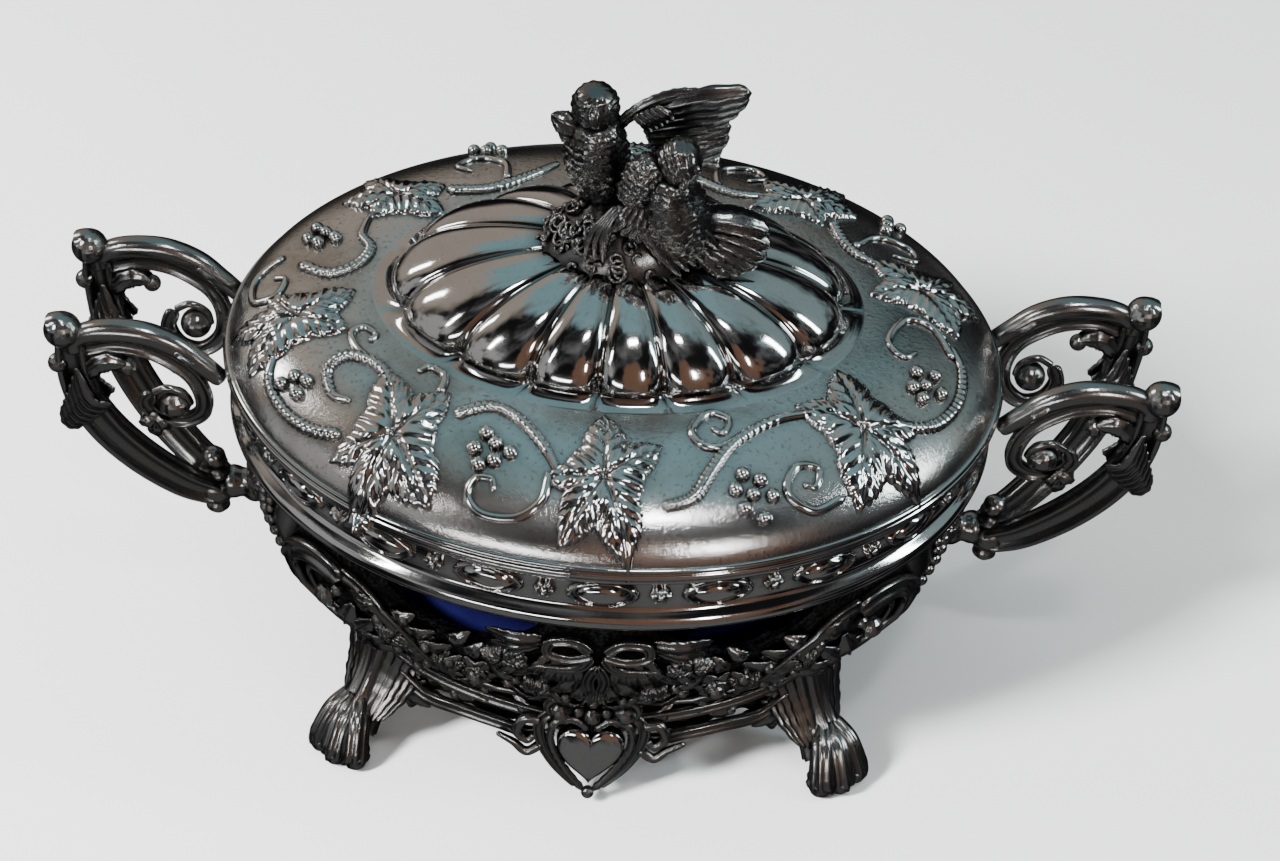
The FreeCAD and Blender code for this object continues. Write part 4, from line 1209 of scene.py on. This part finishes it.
def field_point(u, v):
    """The plain curved field between the corner scroll and the beaded edge."""
    level = 54 - 26 * v
    way = 59 + 9.5 * u + 3 * math.sin(math.pi * v)
    foot, normal = surface_frame(on_basket, way * MM, level * MM)
    return foot + normal * (1.3 * math.sin(math.pi * u) ** 0.4 - 0.2) * MM


quarter.append(moved_grid("field", 12, 24, field_point))
for tip in ((38.5, 36), (38, 31.5), (42, 27.5), (47, 26.5), (43, 40), (47.5, 42)):
    quarter.append(basket_leaf(f"corner_leaf_{tip[0]}", (51, 33), tip, 2.5, 2.6))

# %% [markdown]
# Between the straps the panel is crowded with roses, leaves, berries and a ribbon. Each is
# one call with its place: a length from the middle of the front and a height over the table.

# %% Roses, bow, ribbon and brow
BOW_LOOP = [(1, 50.5), (4, 53), (8, 52.5), (8.5, 49.8), (5, 48.8), (1, 50)]
RIBBON = [(1, 49), (4, 45.5), (10, 44.5), (14, 41.5), (18, 42.5)]
SPINE = [(0.2, 47), (1.4, 42), (0.6, 36), (1.6, 30)]
quarter += rose("large_rose", 22, 37.2, 4.4) + rose("small_rose", 31, 42, 2.8) + rose("low_rose", 36, 30, 2.8)
quarter += [
    basket_bar("bow_loop", BOW_LOOP, 1.0, STRAP, 1.8, 0.1),
    basket_bar("ribbon", RIBBON, 1.1, STRAP, 1.0, 0.4),
    basket_bar("scroll_knob", spiral((7, 22), (3.4, 1.4), (160, -250), 18), 1.1, ROUND, 1.6, 0.3, 3),
    basket_ball("knob", 7, 22, 2.1, 2.2),
    basket_bar("spine", SPINE, 1.2, STRAP, 1.2, 0.2),
    basket_leaf("brow", (0.5, 25.5), (8.5, 28.5), 1.5, 2.6),
    basket_leaf("brow_low", (0.5, 24), (11, 22.5), 1.3, 2.0),
]

# %% Pointed leaves: root, tip, width
POINTED_LEAVES = [
    ((4, 48), (3, 38), 1.5), ((5, 48), (6.5, 36.5), 1.6), ((6, 48), (10, 37), 1.5),
    ((8, 48), (13, 40), 1.3), ((9, 51), (20, 51.5), 1.9), ((10, 50), (19, 48.5), 1.6),
    ((26, 34), (33, 37.5), 1.9), ((27, 33), (20, 32), 1.6), ((38, 46), (33, 49), 1.7),
    ((36, 44), (29, 46.5), 1.6), ((34, 41), (26, 43.5), 1.6), ((30, 36), (24.5, 41), 1.5),
    ((33, 39), (40, 41), 1.7), ((31, 36), (38.5, 37), 1.6), ((40, 47), (47, 47), 1.8),
    ((16, 30), (10, 32.5), 1.3), ((14, 29), (17, 24.5), 1.6), ((22, 30), (26, 25.5), 1.7),
    ((29, 29), (34, 24.5), 1.7), ((38, 27), (31, 22), 1.6), ((28, 23), (20, 18), 1.5),
    ((18, 22), (11, 17), 1.5), ((44, 24), (37, 19), 1.6), ((26, 17), (33, 19.5), 1.3),
    ((2, 44), (9, 33), 1.7), ((1.5, 40), (4, 30), 1.6), ((12, 46), (19, 37), 1.6),
    ((20, 42), (13, 37), 1.7), ((24, 43), (20, 47.5), 1.5), ((27, 45.5), (22.5, 49.5), 1.4),
    ((17, 33), (10, 29.5), 1.7), ((22, 33), (28, 29.5), 1.8), ((33, 34), (40, 30), 1.9),
    ((36, 38), (44, 36), 1.9), ((12, 26), (20, 27.5), 1.6), ((9, 33), (3, 27), 1.5),
    ((41, 26), (48, 23), 1.9), ((62, 33), (55, 28), 1.9), ((85, 40), (78, 35), 1.8),
    ((88, 50), (80, 54), 1.6), ((64, 33), (70, 27), 1.8)]
for root, tip, width in POINTED_LEAVES:
    quarter.append(basket_leaf(f"leaf_{root[0]}_{tip[0]}", root, tip, width, 1.9))
print("pointed leaves in a quarter:", len(POINTED_LEAVES))

# %% Berries: place, height, radius
GRAPES = [
    (16, 36.5, 1.3), (14.5, 38.5, 1.1), (27, 39, 1.4), (25, 47, 1.0), (35, 47.5, 1.2), (41, 43.5, 1.3),
    (43.5, 45.5, 1.1), (39, 34.5, 1.3), (33, 33, 1.2), (19, 26, 1.3), (24, 22.6, 1.2), (31, 18.2, 1.2),
    (15.5, 19.4, 1.2), (40, 20.6, 1.3), (54, 40.5, 2.4), (50, 45, 1.3), (45.5, 31, 1.3), (82, 45, 1.8),
    (5.5, 32, 1.2), (2.8, 34, 1.1)]
for way, level, radius in GRAPES:
    quarter.append(basket_ball(f"berry_{way}_{level}", way, level, radius, 0.9))

# %% Vine leaves: place, height, turn, size
VINE_LEAVES = [
    (16.5, 45.5, 200, 5.4), (28, 37, 150, 4.6), (38.5, 39.5, 20, 5.0), (24, 25.5, -60, 4.4),
    (38, 25.5, -30, 4.6), (11, 35.5, -100, 4.2), (80, 48, 60, 6.0)]
for way, level, turn, size in VINE_LEAVES:
    flat = copied(leaf, f"basket_vine_leaf_{way}", Matrix.Diagonal((size * MM, size * MM, 0.9 * MM, 1)))
    quarter.append(laid(flat, on_basket, (way * MM, level * MM), turn, 0.5 * MM))
bpy.data.objects.remove(leaf)

# %% One quarter becomes four
quarter = joined("basket_relief_right_front", quarter)
quarters = [quarter, copied(quarter, "basket_relief_left_front", MIRROR_X)]
quarters += [copied(quarters[0], "basket_relief_right_back", MIRROR_Y),
             copied(quarters[1], "basket_relief_left_back", MIRROR_Y)]
for piece in quarters:
    finished(piece, "stand", "cast_silver", CAST)

# %% [markdown]
# ### The apron under the basket
# A shaped strip hangs from the ring between the feet and carries the heart in its middle.

# %% Apron
APRON_REACH = 56
APRON_TOP = 26
APRON_WALL = 1.3 * MM


def apron_point(u, v):
    """A strip round the front, its lower edge cut in shallow scallops."""
    way = APRON_REACH * (2 * u - 1)
    scallops = 1.5 * math.cos(way / 3.4)
    middle = 5 * max(0.0, 1 - abs(way) / 12)
    ends = 6 * max(0, abs(way) / APRON_REACH - 0.75)
    low = 15.5 - scallops - middle + ends
    level = APRON_TOP + (low - APRON_TOP) * v
    foot, normal = surface_frame(on_basket, way * MM, level * MM)
    relief = noise.noise(Vector((way / 3.5, level / 3.0, 2.0))) * 0.8
    return foot + normal * (0.5 + relief) * MM


# %% [markdown]
# The heart leans out at its foot. It is a shallow pillow with a sunk edge, in a beaded frame
# with straps, curls and forked ends on both sides.

# %% The heart's form and the bars round it
HEART_PLACE = Vector((0, -47.2, 12.2)) * MM
HEART_LEAN = Matrix.Rotation(math.radians(-14), 4, "X")
HEART_FACE = 0.85


def heart_outline(turn):
    """The outline of a heart about its middle, in mm."""
    x = 6.5 * math.sin(turn) ** 3
    y = (6.2 * math.cos(turn) - 1.9 * math.cos(2 * turn) - 0.9 * math.cos(3 * turn)
         - 0.2 * math.cos(4 * turn))
    return x, y


def heart_place(x, y, out):
    """A point of the cartouche, which leans out at its foot."""
    return HEART_PLACE + HEART_LEAN @ (Vector((x, -out, y)) * MM)


def heart_point(u, v):
    x, y = heart_outline(2 * math.pi * u)
    reach = min(1.0, v / HEART_FACE)
    return heart_place(x * reach, y * reach, 1.7 - 0.9 * reach ** 4 if v <= HEART_FACE else -1.2)


def heart_bar(name, places, width, section, taper, out, beads=0):
    """A bar beside the heart, through flat places in mm, tapered to its far end."""
    line = [heart_place(point.x, point.y, out) for point in curve_through(places, 8)]

    def thickness(t):
        beaded = 1 + 0.22 * (beads > 0) * math.cos(2 * math.pi * beads * t)
        return width * MM * (1 - taper * t ** 2) * beaded

    return swept(name, line, section, thickness, (0, -1, 0))


# %% The heart in its frame: places, width, section, taper, how far out, beads
HEART_BARS = {
    "frame": ([(0.4, 5.2), (3.5, 7.6), (7, 6.4), (7.6, 2.2), (5, -3.4), (0.6, -9.4)],
              0.85, ROUND, 0.2, 0.6, 22),
    "strap": ([(1, 9.6), (5.5, 9.4), (9.6, 6.4), (9.4, 1.6), (6.6, -3.8), (2, -9)],
              1.25, STRAP, 0.4, -0.4),
    "curl": ([(9.4, 6), (12.6, 6.4), (14, 3.4), (12, 1.4), (10.6, 3)], 1.1, ROUND, 0.4, -0.4),
    "fork": ([(9, 0.6), (12, -1.6), (14.6, 0.4), (18, 2.4)], 1.0, ROUND, 0.5, -0.8),
}
heart = dressed(moved_grid("heart", 96, 12, heart_point), BURNISHED)
frame_pieces = []
for side in (1, -1):
    for name, (places, *form) in HEART_BARS.items():
        frame_pieces.append(heart_bar(name, [(side * x, y) for x, y in places], *form))
for x, y, radius in ((0, 8.6, 1.9), (2.6, 9.4, 1.2), (-2.6, 9.4, 1.2), (0, -9.4, 1.3), (0, 11.6, 1.3)):
    frame_pieces.append(ball("frame_ball", heart_place(x, y, 0.6) / MM, radius, 14))
apron = tidied(moved_grid("apron", 150, 9, apron_point))
alone(apron)
bpy.ops.object.modifier_add(type="SOLIDIFY")
apron.modifiers[-1].thickness = APRON_WALL
apron.modifiers[-1].offset = -1
bpy.ops.object.modifier_apply(modifier=apron.modifiers[-1].name)
front = joined("heart_apron_front", [dressed(piece, CAST) for piece in [*frame_pieces, apron]])
back = copied(front, "heart_apron_back", MIRROR_Y)
heart_back = copied(heart, "heart_back", MIRROR_Y)
for piece, face, side in ((front, heart, "front"), (back, heart_back, "back")):
    finished(piece, "stand", "cast_silver", CAST, f"heart_cartouche_{side}")
    finished(face, "stand", "cast_silver", BURNISHED, f"heart_cartouche_{side}")

# %% [markdown]
# ### The feet
# A foot is an acanthus leaf that falls from the ring, turns over on itself at the ankle and
# ends in a rolled toe. A smaller leaf springs from it towards the middle of the bowl.

# %% Leg and toes
FLUTED = []
for step in range(40):
    turn = step * math.pi / 20
    flute = 1 + 0.1 * math.cos(turn * 9)
    FLUTED.append((math.cos(turn) * flute, math.sin(turn) * flute))
LEG = [(37, -25.5, 26), (38.6, -28, 21), (41.2, -31.8, 14.5), (44, -35.6, 9), (46.6, -38.6, 5.6)]


def leg_thickness(t):
    return (7.6 - 3.4 * math.sin(math.pi * min(1, t * 0.75)) ** 1.5) * MM


leg_line = [p * MM for p in curve_through(LEG, 8)]
foot = [swept("leg", leg_line, FLUTED, leg_thickness, (0.6, -0.8, 0.3))]
for number, (x, y) in enumerate(((45.2, -44), (48.6, -43), (51.4, -40))):
    root = Vector((44.4 + 0.8 * number, -36.6 + 0.6 * number, 10.5))
    knuckle = root.lerp(Vector((x, y, 6.4)), 0.6) + Vector((0, 0, 0.8))
    toe = [root, knuckle, (x, y, 4.2), (x, y, 2.9)]
    line = [p * MM for p in curve_through(toe, 8)]
    foot.append(swept(f"toe_{number}", line, FLUTED, lambda t: (2.3 + 0.75 * t ** 2) * MM, (0.5, -0.6, 0.6)))
    foot.append(ball(f"nail_{number}", (x + (x - 48) * 0.12, y - 0.9, 2.5), 2.2, 18))

# %% Leaves down the leg and out from its side
for number in range(9):
    lean = (number - 4) / 4
    bulge = 1 - lean ** 2
    places = [(38.6 + 8.2 * lean, -28.6 + 4.2 * lean - 4.8 * bulge, 24 - abs(lean)),
              (41 + 5.2 * lean, -33.2 + 3.6 * lean - 2.6 * bulge, 16.5 - abs(lean)),
              (44.2 + 3.6 * lean, -38 + 3.2 * lean - 2.2 * bulge, 8.6 + 0.8 * abs(lean))]
    foot.append(blade(f"leg_leaf_{number}", places, 1.9, (0.5, -0.8, 0.35), 0.5, 6))
SPUR_TIPS = [(27.5, -37.4, 12), (29.5, -37.8, 15), (32, -37.4, 18), (31, -37, 9.6), (35, -36.4, 8.4)]
for number, tip in enumerate(SPUR_TIPS):
    places = [(40.6, -32.6, 16 - number * 0.6), (35, -36.4, 15.6 - number * 0.8), tip]
    foot.append(blade(f"spur_{number}", places, 1.7, (-0.1, -1, 0.3), 0.5, 6))

# %% One foot becomes four
foot = joined("acanthus_foot_front_right", foot)
feet = {"front_right": foot, "front_left": copied(foot, "acanthus_foot_front_left", MIRROR_X),
        "back_right": copied(foot, "acanthus_foot_back_right", MIRROR_Y)}
feet["back_left"] = copied(feet["back_right"], "acanthus_foot_back_left", MIRROR_X)
for side, piece in feet.items():
    finished(piece, "stand", "cast_silver", CAST, f"foot_{side}")

# %% [markdown]
# ## CAD parts that stay
# Parts whose form is already right keep their CAD mesh and only get a finish.

# %% Finishes for the CAD parts
CAD_FINISHES = {"sheet_silver": BURNISHED, "cast_silver": CAST, "cobalt_glass": GLASS}
for name, part in frame["nodes"].items():
    dressed(part, GROUND if name.startswith("basket") else CAD_FINISHES[SLOTS[name]])

# %% [markdown]
# ## Set, light and camera
# Silver shows only what it mirrors, so it looks best in a dark room with a few large windows
# of light. The floor is pale and plain, but hidden from reflections.

# %% The floor
bpy.ops.object.select_all(action="DESELECT")
bpy.ops.mesh.primitive_plane_add(size=8)
floor = bpy.context.object
floor.name = "floor"
bpy.ops.object.mode_set(mode="EDIT")
bpy.ops.mesh.subdivide(number_cuts=3)
bpy.ops.object.mode_set(mode="OBJECT")
paper = Recipe("pale_paper", Roughness=0.9)
cloud = paper.noise(0.4, 2)
dressed(floor, paper.done(Base_Color=paper.mixed(cloud, grey(0.86), grey(0.9))))
floor.visible_glossy = False


# %% [markdown]
# Two lamps light the floor, a small one that casts the shadow and a large one that softens
# it, and both are hidden from the silver. The others are there to be mirrored in it.

# %% Lamps
def softbox(name, place, aim, width, height, power, colour=(1, 1, 1), mirrored=True):
    """A rectangular lamp at a place, turned to what it lights."""
    bpy.ops.object.light_add(type="AREA", location=place)
    lamp = bpy.context.object
    lamp.name = name
    lamp.rotation_euler = (Vector(aim) - Vector(place)).to_track_quat("-Z", "Y").to_euler()
    lamp.data.shape = "RECTANGLE"
    lamp.data.size = width
    lamp.data.size_y = height
    lamp.data.energy = power
    lamp.data.color = colour
    lamp.visible_glossy = mirrored
    return lamp


middle = Vector((0, 0, JOINT / 2))
softbox("key", (-0.75, -0.5, 0.8), middle, 0.2, 0.3, 46, mirrored=False)
softbox("ceiling", (0.0, 0.1, 1.5), middle, 1.6, 1.6, 9.5, mirrored=False)
softbox("left_glint", (-0.75, -0.5, 0.75), middle, 0.035, 0.34, 2.0)
softbox("top_glint", (0.12, -0.35, 1.1), middle, 0.16, 0.06, 2.4)
softbox("left_window", (-0.7, 0.3, 0.5), middle, 0.1, 0.3, 1.4)
softbox("front_strip", (-0.3, -0.8, 0.22), middle, 0.4, 0.04, 0.9)
softbox("front_glint", (0.35, -0.75, 0.5), middle, 0.05, 0.16, 1.0)
softbox("right_strip", (0.7, -0.1, 0.5), middle, 0.1, 0.4, 2.6, (0.85, 0.97, 1.0))


# %% [markdown]
# The silver mirrors the room in patches: beige at the upper left, teal above and behind,
# brown in front. Each patch is a direction and how far from it the colour fades out.

# %% The room that the silver mirrors
class Room(Recipe):
    """A world in the making, with the same arithmetic as a material."""

    def __init__(self, name):
        world = bpy.data.worlds.new(name)
        bpy.context.scene.world = world
        world.use_nodes = True
        self.tree = world.node_tree
        self.shader = self.tree.nodes["Background"]
        self.place = self.node("ShaderNodeTexCoord", {}, {}, "Generated")

    def patch(self, x, y, z, reach, ragged):
        """1 in a direction, fading to 0 at a distance, with a ragged edge."""
        aim = Vector((x, y, z)).normalized()
        settings = {"operation": "DOT_PRODUCT"}
        along = self.node("ShaderNodeVectorMath", settings, {0: self.place, 1: aim}, "Value")
        return (along + ragged).between(1 - reach, 1 - reach * 0.45)


room = Room("dark_room")
clouds = room.noise(0.42, 3)
ragged = 0.5 * clouds - 0.25
tone = room.mixed(clouds.between(0.5, 0.72), (0.006, 0.006, 0.007, 1), (0.16, 0.16, 0.165, 1))
for direction, reach, colour in (((-0.55, 0.6, 0.55), 0.3, (0.34, 0.3, 0.26, 1)),
                                 ((0.1, 0.35, 0.9), 0.16, (0.2, 0.33, 0.36, 1)),
                                 ((0.6, 0.3, 0.6), 0.16, (0.2, 0.27, 0.28, 1)),
                                 ((0.3, -0.9, 0.3), 0.12, (0.16, 0.09, 0.06, 1)),
                                 ((0.0, -0.7, -0.6), 0.34, (0.11, 0.11, 0.11, 1)),
                                 ((-0.8, -0.3, 0.2), 0.07, (0.35, 0.35, 0.35, 1))):
    tone = room.mixed(room.patch(*direction, reach, ragged), tone, colour)
room.tree.links.new(tone.socket, room.shader.inputs["Color"])

# %% [markdown]
# The camera looks down on the lid from the front and is turned a little on its own axis, so
# the bowl slopes gently in the view. A long lens keeps its far side nearly full size.

# %% The camera
camera_data = bpy.data.cameras.new("camera")
camera = bpy.data.objects.new("camera", camera_data)
bpy.context.scene.collection.objects.link(camera)
bpy.context.scene.camera = camera
AZIMUTH = math.radians(-1.9)
ELEVATION = math.radians(43.1)
TILT = math.radians(4.9)
DISTANCE = 430 * MM
TARGET = Vector((5.8, 0, 51.5)) * MM
back = Vector((math.sin(AZIMUTH) * math.cos(ELEVATION), -math.cos(AZIMUTH) * math.cos(ELEVATION),
               math.sin(ELEVATION)))
camera.location = TARGET + back * DISTANCE
camera.rotation_mode = "QUATERNION"
level = (-back).to_track_quat("-Z", "Y")
camera.rotation_quaternion = level @ Matrix.Rotation(TILT, 3, "Z").to_quaternion()
camera_data.sensor_width = 36
camera_data.lens = 62.8
camera_data.clip_start = 0.01
print("camera at", [round(c, 3) for c in camera.location])
